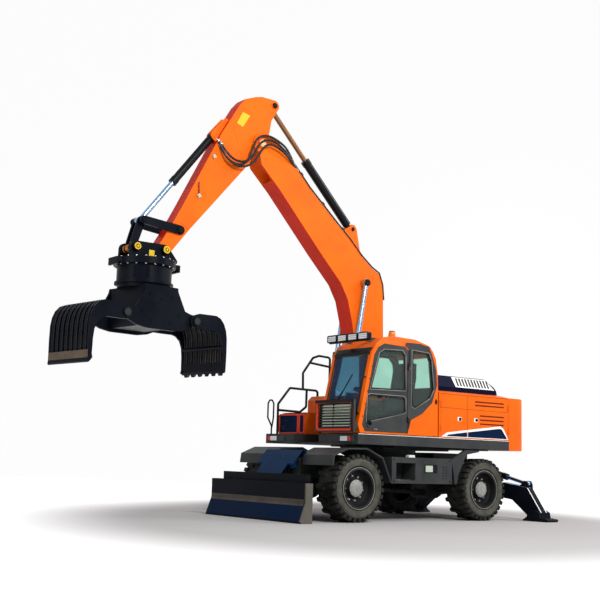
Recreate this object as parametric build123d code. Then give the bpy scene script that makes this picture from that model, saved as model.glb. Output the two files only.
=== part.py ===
from build123d import *
import os
from math import atan2, cos, degrees, hypot, pi, radians, sin

# Wheeled excavator with a rotating sorting grab, a front blade and rear outriggers.
# Millimetres. X points forward, Y to the left, Z up, and Z = 0 is the ground.
# Everything is drawn about the slew axis and moved once, when it is written, so that
# the part's own origin is the middle of its ground rectangle.
SWING_X = -1887

# Running clearances
PIN_GAP = 0.08          # radial, pin in its eye
ROD_GAP = 0.10          # radial, rod in its gland
SIDE_GAP = 6            # along a pin, between moving plates
PANEL_GAP = 6           # round a door or lid
SEAT_GAP = 0.3          # pane or pad against its seat

# Wheels and axles
WHEEL_D = 1042
TYRE_W = 460
TYRE_OUT_Y = 1245
TYRE_BEAD_R = 302
LUGS = 15               # in each of the two rows
LUG_H = 30
LUG_W = 60
LUG_LEAN = 30           # along the tread, from the middle to the shoulder
RIM_WALL = 12
RIM_LIP_R = 322
HUB_R = 150
AXLE_Z = WHEEL_D / 2
FRONT_AXLE_X = 1650
REAR_AXLE_X = -1150
KINGPIN_Y = 880
STUB_R = 60
AXLE_TUBE_R = 95
DIFF_R = 205

# Chassis
FRAME_HALF_W = 400
FRAME_TOP = 980
FRAME_BELLY = 604
FRAME_ARCH = 745
FRAME_FRONT_X = 2180
FRAME_REAR_X = -2090
FRAME_WALL = 16
RING_R = 520
RING_MID_Z = 1085

# Side boxes, fenders and struts
BOX_FRONT_X = FRONT_AXLE_X - WHEEL_D / 2 - 184
BOX_REAR_X = REAR_AXLE_X + WHEEL_D / 2 + 221
BOX_LOW = 604
BOX_TOP = 1020
BOX_OUT_Y = 1200
BOX_IN_Y = 560
FENDER_WALL = 22

# Upper structure
DECK_LOW = 1200
DECK_TOP = 1363
DECK_HALF_W = 1220
DECK_FRONT_X = 1680
DECK_REAR_X = -1797
DECK_WALL = 10
CHANNEL_X = 700
CHANNEL_LEFT_Y = 245
CHANNEL_RIGHT_Y = -430
CHANNEL_FLOOR = 25
HOUSE_FRONT_X = -75
HOUSE_EDGE_Z = 2108
HOUSE_CROWN_Z = 2160
HOUSE_WALL = 30
COUNTER_REAR_X = -2320
COUNTER_LOW = 1195

# Engine lid on top of the house
LID_FRONT_X = -306
LID_REAR_X = -1785
LID_LEFT_Y = 950
LID_RIGHT_Y = -650
LID_SIDE_Z = 2240
LID_TOP_Z = 2440
LID_WALL = 14

# Cab
CAB_IN_Y = 255
CAB_OUT_Y = DECK_HALF_W
CAB_FLOOR_Z = 1375
CAB_WALL = 45
GLASS = 6

# Boom, arm and their planes
BOOM_Y = -80
BOOM_W = 340
BOOM_WALL = 14
ARM_W = 260
ARM_WALL = 14
BOOM_FOOT = (400, 1750)
BOOM_NOSE = (2904, 6015)
BOOM_EYE = (670, 3979)
BOOM_CYL_FOOT = (1100, 1400)
BOOM_CYL_SIDE = 250
ARM_CYL_FOOT = (846, 4924)
ARM_TAIL = (2648, 6721)
ARM_TIP = (4625, 3984)
TILT_CYL_FOOT = (3761, 5985)
LEVER_FOOT = (4352, 4343)
LEVER_END = (4985, 4405)
LINK_END = (5116, 3972)

# Grab
GRAB_X = 4850
GRAB_TURN = 7
JAW_PIVOT_U = 630
JAW_PIVOT_Z = 2930
JAW_HALF_W = 512
JAW_PLATE_T = 36
FRAME_PLATE_V = 430
FRAME_PLATE_T = 40
FLANGE_TOP = 3812
FLANGE_LOW = 3711
DRUM_LOW = 3430
DRUM_R = 410

# Blade
BLADE_HALF_W = 1275
BLADE_TOP = 591
BLADE_STRIP_TOP = 715
BLADE_REAR_X = 2589
BLADE_FACE_X = 2719
BLADE_TOE_X = 2815
BLADE_CREASE_Z = 290
BLADE_ARM_FOOT = (2080, 430)
BLADE_ARM_END = (2540, 300)
BLADE_LINK_FOOT = (2080, 640)
BLADE_LINK_END = (2540, 510)
BLADE_CYL_FOOT = (2240, 890)
BLADE_CYL_END = (2515, 150)
BLADE_CYL_Y = 180

# Outriggers, in the plane across the machine
LEG_X = -2220
LEG_W = 170
LEG_PIVOT = (520, 470)
LEG_EYE = (1270, 628)
LEG_CYL_FOOT = (330, 850)

parts = {}


def put(name, *pieces):
    """Write one node, moved from the slew axis to the part's own frame."""
    solids = []
    for piece in pieces:
        found = piece.solids()
        if len(found) != 1:
            print("pieces", name, len(found))
        solids += [solid.moved(Location((SWING_X, 0, 0))) for solid in found]
    parts[name] = Compound(solids) if len(solids) > 1 else solids[0]
    export_step(parts[name], "parts/" + name + ".step")


def box(x0, x1, y0, y1, z0, z1):
    """Block between two corners."""
    return Pos((x0 + x1) / 2, (y0 + y1) / 2, (z0 + z1) / 2) * Box(x1 - x0, y1 - y0, z1 - z0)


def face_xz(outline, y):
    return make_face(Polyline(*[(x, y, z) for x, z in outline], close=True))


def plate(outline, y0, y1):
    """Plate with an x-z outline between two y planes."""
    return extrude(face_xz(outline, y0), amount=y1 - y0, dir=(0, 1, 0))


def slab(outline, z0, z1):
    """Slab with an x-y outline between two heights."""
    face = make_face(Polyline(*[(x, y, z0) for x, y in outline], close=True))
    return extrude(face, amount=z1 - z0, dir=(0, 0, 1))


def cross(outline, x0, x1):
    """Bar with a y-z outline between two x planes."""
    face = make_face(Polyline(*[(x0, y, z) for y, z in outline], close=True))
    return extrude(face, amount=x1 - x0, dir=(1, 0, 0))


def disc_y(centre, radius, y0, y1):
    """Round bar across the machine at an x-z centre."""
    plane = Plane(origin=(centre[0], y0, centre[1]), x_dir=(1, 0, 0), z_dir=(0, 1, 0))
    return plane * Cylinder(radius, y1 - y0, align=(Align.CENTER, Align.CENTER, Align.MIN))


def disc_z(x, y, radius, z0, z1):
    return Pos(x, y, z0) * Cylinder(radius, z1 - z0, align=(Align.CENTER, Align.CENTER, Align.MIN))


def disc_x(y, z, radius, x0, x1):
    plane = Plane(origin=(x0, y, z), x_dir=(0, 1, 0), z_dir=(1, 0, 0))
    return plane * Cylinder(radius, x1 - x0, align=(Align.CENTER, Align.CENTER, Align.MIN))


def rod(start, end, radius):
    """Round bar between two points in space."""
    a, b = Vector(*start), Vector(*end)
    plane = Plane(origin=a, z_dir=(b - a).normalized())
    return plane * Cylinder(radius, (b - a).length, align=(Align.CENTER, Align.CENTER, Align.MIN))


def tube_path(points, bend, radius):
    """Bent tube through a list of points."""
    path = FilletPolyline(*points, radius=bend)
    start = path ^ 0
    return sweep(Plane(origin=start.position, z_dir=start.z_axis.direction) * Circle(radius), path=path)


def fuse(first, *others):
    shape = first
    for other in others:
        shape = shape + other
    return shape.solids()[0] if len(shape.solids()) == 1 else shape


def ring_arc(centre, radius, start, end, steps):
    """Points on an arc in an outline, angles in degrees."""
    return [(centre[0] + radius * cos(radians(start + (end - start) * k / steps)),
             centre[1] + radius * sin(radians(start + (end - start) * k / steps)))
            for k in range(steps + 1)]


def hollow(outline, y0, y1, wall):
    """Closed box section with an x-z outline and an even wall."""
    outer = plate(outline, y0, y1)
    inner = offset(face_xz(outline, y0 + wall), amount=-wall, kind=Kind.INTERSECTION)
    return outer - extrude(inner, amount=y1 - y0 - 2 * wall, dir=(0, 1, 0))


def capsule(start, end, radius0, radius1, y0, y1):
    """Flat link with two round ends."""
    turn = degrees(atan2(end[1] - start[1], end[0] - start[0]))
    outline = ring_arc(start, radius0, turn + 90, turn + 270, 12)
    outline += ring_arc(end, radius1, turn - 90, turn + 90, 12)
    return plate(outline, y0, y1)


# One hydraulic cylinder. It is drawn along +X from its foot pin, across Y, and then laid
# between its two pins in the x-z plane, or in the y-z plane where across is True.
def lay(shape, foot, end, side, across=False):
    turn = degrees(atan2(end[1] - foot[1], end[0] - foot[0]))
    shape = Rot(0, -turn, 0) * shape
    if across:
        return Pos(side, foot[0], foot[1]) * (Rot(0, 0, 90) * shape)
    return Pos(foot[0], side, foot[1]) * shape


def cylinder_tube(length, tube_r, rod_r, eye_r, eye_w, pin_r, wall):
    eye = disc_y((0, 0), eye_r, -eye_w / 2, eye_w / 2)
    floor = eye_r + 26 + wall
    neck_r = min(tube_r, eye_w / 2 - 1)
    body = rod((eye_r * 0.7, 0, 0), (eye_r + 40, 0, 0), neck_r)
    body += rod((eye_r + 26, 0, 0), (length, 0, 0), tube_r)
    gland = rod((length - 90, 0, 0), (length, 0, 0), tube_r + 6)
    bore = rod((floor, 0, 0), (length - 70, 0, 0), tube_r - wall)
    mouth = rod((length - 80, 0, 0), (length + 5, 0, 0), rod_r + ROD_GAP)
    shape = eye + body + gland - bore - mouth
    return (shape - disc_y((0, 0), pin_r + PIN_GAP, -eye_w, eye_w))


def cylinder_rod(distance, start, rod_r, eye_r, eye_w):
    """Rod whose inner end is at start and whose eye is at distance."""
    shaft = rod((start, 0, 0), (distance, 0, 0), rod_r)
    return fuse(shaft, disc_y((distance, 0), eye_r, -eye_w / 2, eye_w / 2))


def span(a, b):
    return hypot(b[0] - a[0], b[1] - a[1])


# Wheels
def tyre_body():
    """Tyre about the Y axis at the origin: revolved carcass and two rows of slanted lugs."""
    inner_y = TYRE_OUT_Y - TYRE_W
    middle = TYRE_OUT_Y - TYRE_W / 2
    tread = WHEEL_D / 2 - LUG_H
    wall = 36
    outline = [
        (TYRE_BEAD_R, inner_y + 30), (RIM_LIP_R + 30, inner_y + 8), (440, inner_y),
        (tread - 14, inner_y + 30), (tread, inner_y + 70), (tread, TYRE_OUT_Y - 70),
        (tread - 14, TYRE_OUT_Y - 30), (440, TYRE_OUT_Y), (RIM_LIP_R + 30, TYRE_OUT_Y - 8),
        (TYRE_BEAD_R, TYRE_OUT_Y - 30), (TYRE_BEAD_R, TYRE_OUT_Y - 60),
        (tread - wall, TYRE_OUT_Y - wall - 20), (tread - wall, inner_y + wall + 20),
        (TYRE_BEAD_R, inner_y + 60),
    ]
    profile = make_face(Polyline(*[(r, y, 0) for r, y in outline], close=True))
    body = revolve(profile, Axis.Y, 360)
    reach = LUG_W / 2 + LUG_LEAN
    top = (WHEEL_D ** 2 / 4 - reach ** 2) ** 0.5
    phase = degrees(atan2(reach, top))          # one lug's corner stands on the ground
    step = 360 / LUGS
    for k in range(LUGS):
        for row in (-1, 1):
            near, far = row * 16, row * (TYRE_W / 2 - 14)
            corners = [(-LUG_W / 2, near), (LUG_W / 2, near)]
            corners += [(LUG_W / 2 + LUG_LEAN, far), (-LUG_W / 2 + LUG_LEAN, far)]
            face = make_face(Polyline(*[(x, middle + y, -(tread - 45)) for x, y in corners], close=True))
            lug = extrude(face, amount=top - tread + 45, dir=(0, 0, -1))
            turn = step * (k + (0.5 if row > 0 else 0.0)) + phase
            body += Rot(0, turn, 0) * lug
    return body


def tyre(body, x, side):
    """The tyre at one corner of the machine."""
    shape = body if side > 0 else mirror(body, Plane.XZ)
    return Pos(x, 0, AXLE_Z) * shape


def rim(x, side):
    """Rim barrel with lips, dished disc, hub and wheel nuts."""
    inner_y = TYRE_OUT_Y - TYRE_W + 30
    outer_y = TYRE_OUT_Y - 30
    r = TYRE_BEAD_R - SEAT_GAP
    disc_y0 = TYRE_OUT_Y - 190
    outline = [
        (r, inner_y), (r, outer_y + 0.3), (RIM_LIP_R, outer_y + 9.3), (RIM_LIP_R, outer_y + 22),
        (r - RIM_WALL - 6, outer_y + 22), (r - RIM_WALL - 6, disc_y0 + 60),
        (r - RIM_WALL - 30, disc_y0 + 22), (HUB_R + 12, disc_y0 + 22), (HUB_R, disc_y0 + 34),
        (HUB_R - 20, disc_y0 + 110), (90, disc_y0 + 128), (0, disc_y0 + 134), (0, disc_y0 + 126),
        (STUB_R + PIN_GAP, disc_y0 + 126), (STUB_R + PIN_GAP, disc_y0), (r - RIM_WALL, disc_y0),
        (r - RIM_WALL, inner_y),
    ]
    profile = make_face(Polyline(*[(radius, y, 0) for radius, y in outline], close=True))
    body = revolve(profile, Axis.Y, 360)
    nut_circle = HUB_R + 40
    for k in range(10):
        turn = 2 * pi * k / 10
        body += disc_y((nut_circle * cos(turn), nut_circle * sin(turn)), 14, disc_y0 + 20, disc_y0 + 44)
    if side < 0:
        body = mirror(body, Plane.XZ)
    return Pos(x, 0, AXLE_Z) * body


def knuckle(side):
    """Steering knuckle: kingpin barrel between the yoke's jaws, and the stub axle."""
    barrel = disc_z(FRONT_AXLE_X, KINGPIN_Y, 62, AXLE_Z - 98, AXLE_Z + 98)
    barrel -= disc_z(FRONT_AXLE_X, KINGPIN_Y, 28 + PIN_GAP, AXLE_Z - 120, AXLE_Z + 120)
    stub = disc_y((FRONT_AXLE_X, AXLE_Z), STUB_R, KINGPIN_Y + 35, TYRE_OUT_Y - 66)
    flange = disc_y((FRONT_AXLE_X, AXLE_Z), 120, KINGPIN_Y + 70, KINGPIN_Y + 110)
    arm = box(FRONT_AXLE_X - 190, FRONT_AXLE_X - 40, KINGPIN_Y - 20, KINGPIN_Y + 20,
              AXLE_Z - 90, AXLE_Z - 60)
    body = fuse(barrel, stub, flange, arm)
    return body if side > 0 else mirror(body, Plane.XZ)


def front_axle():
    """Steered axle: housing, yokes with kingpins, and the pivot block under the frame."""
    body = disc_y((FRONT_AXLE_X, AXLE_Z), AXLE_TUBE_R, -KINGPIN_Y + 190, KINGPIN_Y - 190)
    body += Pos(FRONT_AXLE_X, 0, AXLE_Z) * Sphere(DIFF_R)
    body += disc_x(0, AXLE_Z, 80, FRONT_AXLE_X - 290, FRONT_AXLE_X)
    body += box(FRONT_AXLE_X - 110, FRONT_AXLE_X + 110, -150, 150, AXLE_Z + 120, FRAME_ARCH)
    for side in (-1, 1):
        low, high = sorted((side * (KINGPIN_Y - 200), side * (KINGPIN_Y - 70)))
        body += box(FRONT_AXLE_X - 75, FRONT_AXLE_X + 75, low, high, AXLE_Z - 150, AXLE_Z + 150)
        low, high = sorted((side * (KINGPIN_Y - 100), side * KINGPIN_Y))
        for z in (AXLE_Z - 150, AXLE_Z + 104):
            body += box(FRONT_AXLE_X - 60, FRONT_AXLE_X + 60, low, high, z, z + 46)
            body += disc_z(FRONT_AXLE_X, side * KINGPIN_Y, 60, z, z + 46)
        body += disc_z(FRONT_AXLE_X, side * KINGPIN_Y, 28, AXLE_Z - 120, AXLE_Z + 120)
    return body


def rear_axle():
    """Rigid axle with its gearbox, travel motor and the shaft to the front axle."""
    body = disc_y((REAR_AXLE_X, AXLE_Z), AXLE_TUBE_R, -900, 900)
    body += Pos(REAR_AXLE_X, 0, AXLE_Z) * Sphere(DIFF_R)
    body += box(REAR_AXLE_X + 60, REAR_AXLE_X + 330, -190, 190, AXLE_Z - 190, AXLE_Z + 140)
    for side in (-1, 1):
        low, high = sorted((side * 900, side * (TYRE_OUT_Y - 66)))
        body += disc_y((REAR_AXLE_X, AXLE_Z), STUB_R, low, high)
        low, high = sorted((side * 880, side * 940))
        body += disc_y((REAR_AXLE_X, AXLE_Z), 150, low, high)
        low, high = sorted((side * 300, side * 380))
        body += box(REAR_AXLE_X - 90, REAR_AXLE_X + 90, low, high, AXLE_Z + 40, FRAME_ARCH)
    body += disc_x(0, AXLE_Z - 90, 55, REAR_AXLE_X + 320, REAR_AXLE_X + 420)
    return body


def drive_shaft():
    """Cardan shaft between the gearbox and the front axle."""
    start = (REAR_AXLE_X + 420 + SEAT_GAP, 0, AXLE_Z - 90)
    end = (FRONT_AXLE_X - 290 - SEAT_GAP, 0, AXLE_Z)
    lean = (end[2] - start[2]) / (end[0] - start[0])
    body = disc_x(0, start[2], 60, start[0], start[0] + 90)
    body += disc_x(0, end[2], 60, end[0] - 90, end[0])
    body += rod((start[0] + 60, 0, start[2] + 60 * lean), (end[0] - 60, 0, end[2] - 60 * lean), 38)
    return body


def both(shape):
    """A piece and its mirror image on the machine's other side."""
    return [shape, mirror(shape, Plane.XZ)]


def chassis():
    """Box frame arched over both axles, with the outrigger bracket and blade pins."""
    outline = [
        (FRAME_REAR_X, FRAME_TOP - 60), (FRAME_REAR_X, 560), (-1520, 560), (-1430, FRAME_ARCH),
        (-860, FRAME_ARCH), (-740, FRAME_BELLY), (1230, FRAME_BELLY), (1330, FRAME_ARCH),
        (1960, FRAME_ARCH), (2010, 560), (2010, 380), (FRAME_FRONT_X - 40, 380),
        (FRAME_FRONT_X, 430), (FRAME_FRONT_X, 930), (FRAME_FRONT_X - 80, FRAME_TOP),
        (FRAME_REAR_X + 60, FRAME_TOP),
    ]
    body = hollow(outline, -FRAME_HALF_W, FRAME_HALF_W, FRAME_WALL)
    rear_plate_x = LEG_X - LEG_W / 2 - SIDE_GAP - 32
    front_plate_x = LEG_X + LEG_W / 2 + SIDE_GAP
    half = [(0, 400), (500, 395), (600, 430), (610, 500), (480, 640), (400, 880), (330, 920), (0, 920)]
    bracket = half + [(-y, z) for y, z in reversed(half[1:-1])]
    body += cross(bracket, rear_plate_x, rear_plate_x + 32)
    body += cross(bracket, front_plate_x, FRAME_REAR_X + 5)
    body += box(rear_plate_x, FRAME_REAR_X + 5, -170, 170, 400, 900)
    for side in (-1, 1):
        body += disc_x(side * LEG_PIVOT[0], LEG_PIVOT[1], 38, rear_plate_x - 14, front_plate_x + 10)
        body += disc_x(side * LEG_CYL_FOOT[0], LEG_CYL_FOOT[1], 24, rear_plate_x - 14, front_plate_x + 10)
    arm_out = FRAME_HALF_W + SIDE_GAP + 70
    for foot in (BLADE_ARM_FOOT, BLADE_LINK_FOOT):
        body += disc_y(foot, 32, -arm_out, arm_out)
        for side in (-1, 1):
            low, high = sorted((side * (arm_out + 2), side * (arm_out + 16)))
            body += disc_y(foot, 32, *sorted((side * arm_out, side * (arm_out + 4))))
            body += disc_y(foot, 46, low, high)
    x, z = BLADE_CYL_FOOT
    for side in (-1, 1):
        for edge in (-58, 36):
            y = side * BLADE_CYL_Y + edge
            body += plate([(FRAME_FRONT_X - 5, z - 110), (x + 20, z - 50), (x + 50, z), (x + 20, z + 45),
                           (FRAME_FRONT_X - 5, z + 60)], y, y + 22)
        body += disc_y(BLADE_CYL_FOOT, 24, side * BLADE_CYL_Y - 60, side * BLADE_CYL_Y + 60)
    return body


def slew_ring():
    """Lower race of the slewing ring, standing on the frame."""
    race = disc_z(0, 0, RING_R, FRAME_TOP, RING_MID_Z) - disc_z(0, 0, RING_R - 80, FRAME_TOP, RING_MID_Z)
    return race


RECESS_X = (430, 850)    # step recess in each box


def side_boxes():
    """Tool and battery boxes between the wheels, with their open recess."""
    shell = hollow([(BOX_REAR_X, BOX_LOW), (BOX_FRONT_X, BOX_LOW), (BOX_FRONT_X, BOX_TOP),
                    (BOX_REAR_X, BOX_TOP)], BOX_IN_Y, BOX_OUT_Y, 12)
    low_x, high_x = RECESS_X
    recess = box(low_x, high_x, BOX_OUT_Y - 320, BOX_OUT_Y + 10, 655, 930)
    liner = box(low_x - 12, high_x + 12, BOX_OUT_Y - 332, BOX_OUT_Y, 643, 942)
    body = fuse(shell, liner) - recess
    for x in (BOX_REAR_X + 40, BOX_FRONT_X - 120):
        body += box(x, x + 80, FRAME_HALF_W + SEAT_GAP, BOX_IN_Y + 5, 640, 940)
    return both(body)


# Angle round the axle in degrees, clearance outside the tyre
FENDER_TOP = [(32, 121), (43.5, 203), (67.8, 140), (103.6, 120), (135, 166), (172.3, 160)]
FENDER_UNDER = [(172, 136), (135, 139), (103.6, 96), (67.3, 117), (43.9, 179), (33, 102)]
STRUT_EDGE = [(7.7, 155), (7, 127), (9.5, 107), (22, 116), (50.4, 153), (56, 177), (81.8, 114), (82, 135),
              (58.1, 252)]


def round_wheel(axle_x, places):
    """Outline points given by their angle and clearance round a wheel."""
    points = []
    for turn, clear in places:
        reach = WHEEL_D / 2 + clear
        points.append((axle_x + reach * cos(radians(turn)), AXLE_Z + reach * sin(radians(turn))))
    return points


def fenders():
    """Front fenders over the steered wheels and the raked struts at the rear wheels."""
    outline = round_wheel(FRONT_AXLE_X, FENDER_TOP + FENDER_UNDER)
    front = plate(outline, FRAME_HALF_W + SEAT_GAP, TYRE_OUT_Y - 4)
    front -= box(2090, 2210, FRAME_HALF_W - 50, FRAME_HALF_W + 90, 800, 1200)
    top = AXLE_Z + 483
    near = BOX_REAR_X - 4
    rear = plate([(near, top), (near, top - 34)] + round_wheel(REAR_AXLE_X, STRUT_EDGE),
                 BOX_OUT_Y - 60, BOX_OUT_Y)
    bracket = box(near - 288, near - 4, FRAME_HALF_W + SEAT_GAP, BOX_OUT_Y - 60, top - 64, top - 34)
    rear = fuse(rear, bracket, box(near - 288, near - 188, BOX_OUT_Y - 62, BOX_OUT_Y, top - 64, top - 24))
    return both(front) + both(rear)


def front_cover():
    """Sloping cover plate between the frame's nose and the blade."""
    skin = [(2100, FRAME_TOP), (2120, 1087), (2185, 1087), (2265, 1000), (2505, 700), (2493, 692),
            (2254, 988), (2180, 1072), (2134, 1072), (2114, FRAME_TOP)]
    body = plate(skin, -480, 480)
    link_in = FRAME_HALF_W - 66
    for side in (-1, 1):
        low, high = sorted((side * link_in, side * 500))
        body -= box(2365, 2560, low, high, 600, 900)
        low, high = sorted((side * 300, side * 320))
        body += plate([(FRAME_FRONT_X, 800), (2300, 800), (2380, 850), (2262, 995), (2183, 1080),
                       (2130, 1080), (2112, FRAME_TOP), (FRAME_FRONT_X - 80, FRAME_TOP),
                       (FRAME_FRONT_X, 930)], low, high)
    return body


# Blade and its linkage
def blade():
    """Box blade with a kicked-out toe, end plates, top strip and rear brackets."""
    face = [(BLADE_FACE_X, BLADE_TOP), (BLADE_FACE_X, BLADE_CREASE_Z), (BLADE_TOE_X, 30),
            (BLADE_TOE_X, 0), (BLADE_TOE_X - 60, 0), (BLADE_FACE_X - 40, BLADE_CREASE_Z - 30),
            (BLADE_FACE_X - 30, BLADE_TOP - 25), (BLADE_REAR_X, BLADE_TOP - 25), (BLADE_REAR_X, BLADE_TOP)]
    body = plate(face, -BLADE_HALF_W, BLADE_HALF_W)
    end = [(BLADE_REAR_X, 0), (BLADE_TOE_X - 20, 0), (BLADE_TOE_X, 30), (BLADE_FACE_X, BLADE_CREASE_Z),
           (BLADE_FACE_X, BLADE_TOP), (BLADE_REAR_X, BLADE_TOP)]
    for y in (-BLADE_HALF_W, BLADE_HALF_W - 20, -700, 680, -400, 340):
        width = 60 if abs(y) < 450 else 20
        body += plate(end, y, y + width)
    strip = [(BLADE_REAR_X + 20, BLADE_TOP - 10), (BLADE_REAR_X + 45, BLADE_TOP - 10),
             (BLADE_REAR_X + 45, BLADE_STRIP_TOP), (BLADE_REAR_X + 20, BLADE_STRIP_TOP)]
    body += plate(strip, -1060, 1240)
    bracket = [(BLADE_REAR_X + 5, 230), (BLADE_REAR_X + 5, 580), (2520, 565), (2495, 520), (2495, 290),
               (2520, 245)]
    out = FRAME_HALF_W + SIDE_GAP + 70
    for side in (-1, 1):
        body += plate(bracket, *sorted((side * (FRAME_HALF_W - 60), side * FRAME_HALF_W)))
        for pin in (BLADE_ARM_END, BLADE_LINK_END):
            body += disc_y(pin, 30, *sorted((side * (FRAME_HALF_W - 20), side * (out + 4))))
            body += disc_y(pin, 40, *sorted((side * (out + 3), side * (out + 14))))
        x, z = BLADE_CYL_END
        for edge in (-58, 36):
            y = side * BLADE_CYL_Y + edge
            body += plate([(BLADE_REAR_X + 5, z - 75), (x - 10, z - 45), (x - 48, z), (x - 10, z + 45),
                           (BLADE_REAR_X + 5, z + 90)], y, y + 22)
    rear_wall = [(BLADE_REAR_X, 60), (BLADE_REAR_X + 12, 60), (BLADE_REAR_X + 12, BLADE_TOP),
                 (BLADE_REAR_X, BLADE_TOP)]
    body += plate(rear_wall, -480, 480)
    return body


def blade_bars(foot, end, radius):
    """Pair of parallel bars that carry the blade."""
    y0 = FRAME_HALF_W + SIDE_GAP
    bar = capsule(foot, end, radius + 12, radius, y0, y0 + 64)
    bar -= disc_y(foot, 32 + PIN_GAP, y0 - 5, y0 + 80)
    bar -= disc_y(end, 30 + PIN_GAP, y0 - 5, y0 + 80)
    return both(bar)


# Outriggers
def outrigger_leg():
    """Left leg: box leg with a bent back, its foot, and the ears for the rod's eye."""
    px, pz = LEG_PIVOT
    outline = [(px - 70, pz - 60), (px - 70, pz + 60), (px, pz + 95), (760, 640), (1150, 590),
               (1330, 560), (1640, 140), (1640, 90), (1340, 90), (990, 345), (760, 372), (px, pz - 95)]
    x0 = LEG_X - LEG_W / 2
    leg = cross(outline, x0, x0 + LEG_W)
    face = make_face(Polyline(*[(x0 + 14, y, z) for y, z in outline], close=True))
    inner = offset(face, amount=-14, kind=Kind.INTERSECTION)
    leg -= extrude(inner, amount=LEG_W - 28, dir=(1, 0, 0))
    leg += disc_x(px, pz, 75, x0, x0 + LEG_W)
    leg -= disc_x(px, pz, 38 + PIN_GAP, x0 - 5, x0 + LEG_W + 5)
    y, z = LEG_EYE
    ear = [(y - 130, 585), (y - 60, z + 20), (y - 25, z + 55), (y + 30, z + 50), (y + 62, z), (y + 70, 540)]
    for x in (LEG_X - 66, LEG_X + 36):
        leg += cross(ear, x, x + 30)
    foot = [(1290, 0), (1800, 0), (1830, 30), (1800, 50), (1660, 60), (1640, 150), (1560, 190),
            (1420, 190), (1370, 60), (1300, 30)]
    leg += cross(foot, LEG_X - 150, LEG_X + 150)
    return leg


# Upper structure
def house_deck():
    """Platform with its skirts, boom channel, boom feet and the upper race."""
    outline = [(DECK_REAR_X, -DECK_HALF_W), (DECK_FRONT_X, -DECK_HALF_W), (DECK_FRONT_X, CHANNEL_RIGHT_Y),
               (CHANNEL_X, CHANNEL_RIGHT_Y), (CHANNEL_X, CHANNEL_LEFT_Y), (DECK_FRONT_X, CHANNEL_LEFT_Y),
               (DECK_FRONT_X, DECK_HALF_W), (DECK_REAR_X, DECK_HALF_W)]
    outer = slab(outline, DECK_LOW, DECK_TOP)
    face = make_face(Polyline(*[(x, y, DECK_LOW + DECK_WALL) for x, y in outline], close=True))
    inner = offset(face, amount=-DECK_WALL, kind=Kind.INTERSECTION)
    body = outer - extrude(inner, amount=DECK_TOP - DECK_LOW - 2 * DECK_WALL, dir=(0, 0, 1))
    body += box(CHANNEL_X - 5, DECK_FRONT_X - 60, CHANNEL_RIGHT_Y - 5, CHANNEL_LEFT_Y + 5,
                DECK_LOW, DECK_LOW + CHANNEL_FLOOR)
    race = disc_z(0, 0, RING_R, RING_MID_Z + SEAT_GAP, DECK_LOW + 2)
    body += race - disc_z(0, 0, RING_R - 80, RING_MID_Z, DECK_LOW + 2)
    x, z = BOOM_FOOT
    cheek = [(x - 260, DECK_TOP - 2), (CHANNEL_X + 5, DECK_TOP - 2), (CHANNEL_X + 5, DECK_LOW + 5),
             (x + 480, DECK_LOW + 5), (x + 420, 1480), (x + 150, z + 60), (x + 60, z + 130),
             (x - 60, z + 130), (x - 130, z + 60), (x - 220, 1600)]
    inner_y = BOOM_W / 2 + SIDE_GAP
    for side in (-1, 1):
        low, high = sorted((BOOM_Y + side * inner_y, BOOM_Y + side * (inner_y + 32)))
        body += plate(cheek, low, high)
    body += disc_y(BOOM_FOOT, 50, BOOM_Y - inner_y - 40, BOOM_Y + inner_y + 40)
    fx, fz = BOOM_CYL_FOOT
    ear = [(fx - 110, DECK_LOW + 5), (fx + 110, DECK_LOW + 5), (fx + 60, fz + 30), (fx + 30, fz + 62),
           (fx - 30, fz + 62), (fx - 60, fz + 30)]
    for side in (-1, 1):
        middle = BOOM_Y + side * BOOM_CYL_SIDE
        for edge in (-62, 46):
            body += plate(ear, middle + edge, middle + edge + 16)
        body += disc_y(BOOM_CYL_FOOT, 32, middle - 64, middle + 64)
    return body


def hinge(x, y, z, fixed_dx, moving_dx, depth):
    """Upright hinge: the fixed lugs with their pin, and the barrel that turns on it."""
    fixed = disc_z(x, y, 5, z - 46, z + 46)
    for z0 in (z - 46, z + 16):
        fixed += disc_z(x, y, 10, z0, z0 + 30)
        low, high = sorted((x, x + fixed_dx))
        fixed += box(low, high, y - depth, y + 4, z0, z0 + 30)
    barrel = disc_z(x, y, 10, z - 15.7, z + 15.7)
    low, high = sorted((x, x + moving_dx))
    barrel += box(low, high, y - depth, y + 4, z - 15.7, z + 15.7)
    barrel -= disc_z(x, y, 5 + PIN_GAP, z - 20, z + 20)
    return fixed, barrel


HINGE_Y = DECK_HALF_W + 6
DOOR_LOW = DECK_TOP + 12
DOOR_TOP = 2088
POST_T = 12
DOOR1_FRONT_X = -119
DOOR_SEAM_X = -752
DOOR2_REAR_X = DECK_REAR_X + 14
HINGE_ZS = (1520, 1930)
RIGHT_DOOR_X0 = -1700
RIGHT_DOOR_X1 = -560


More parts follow.
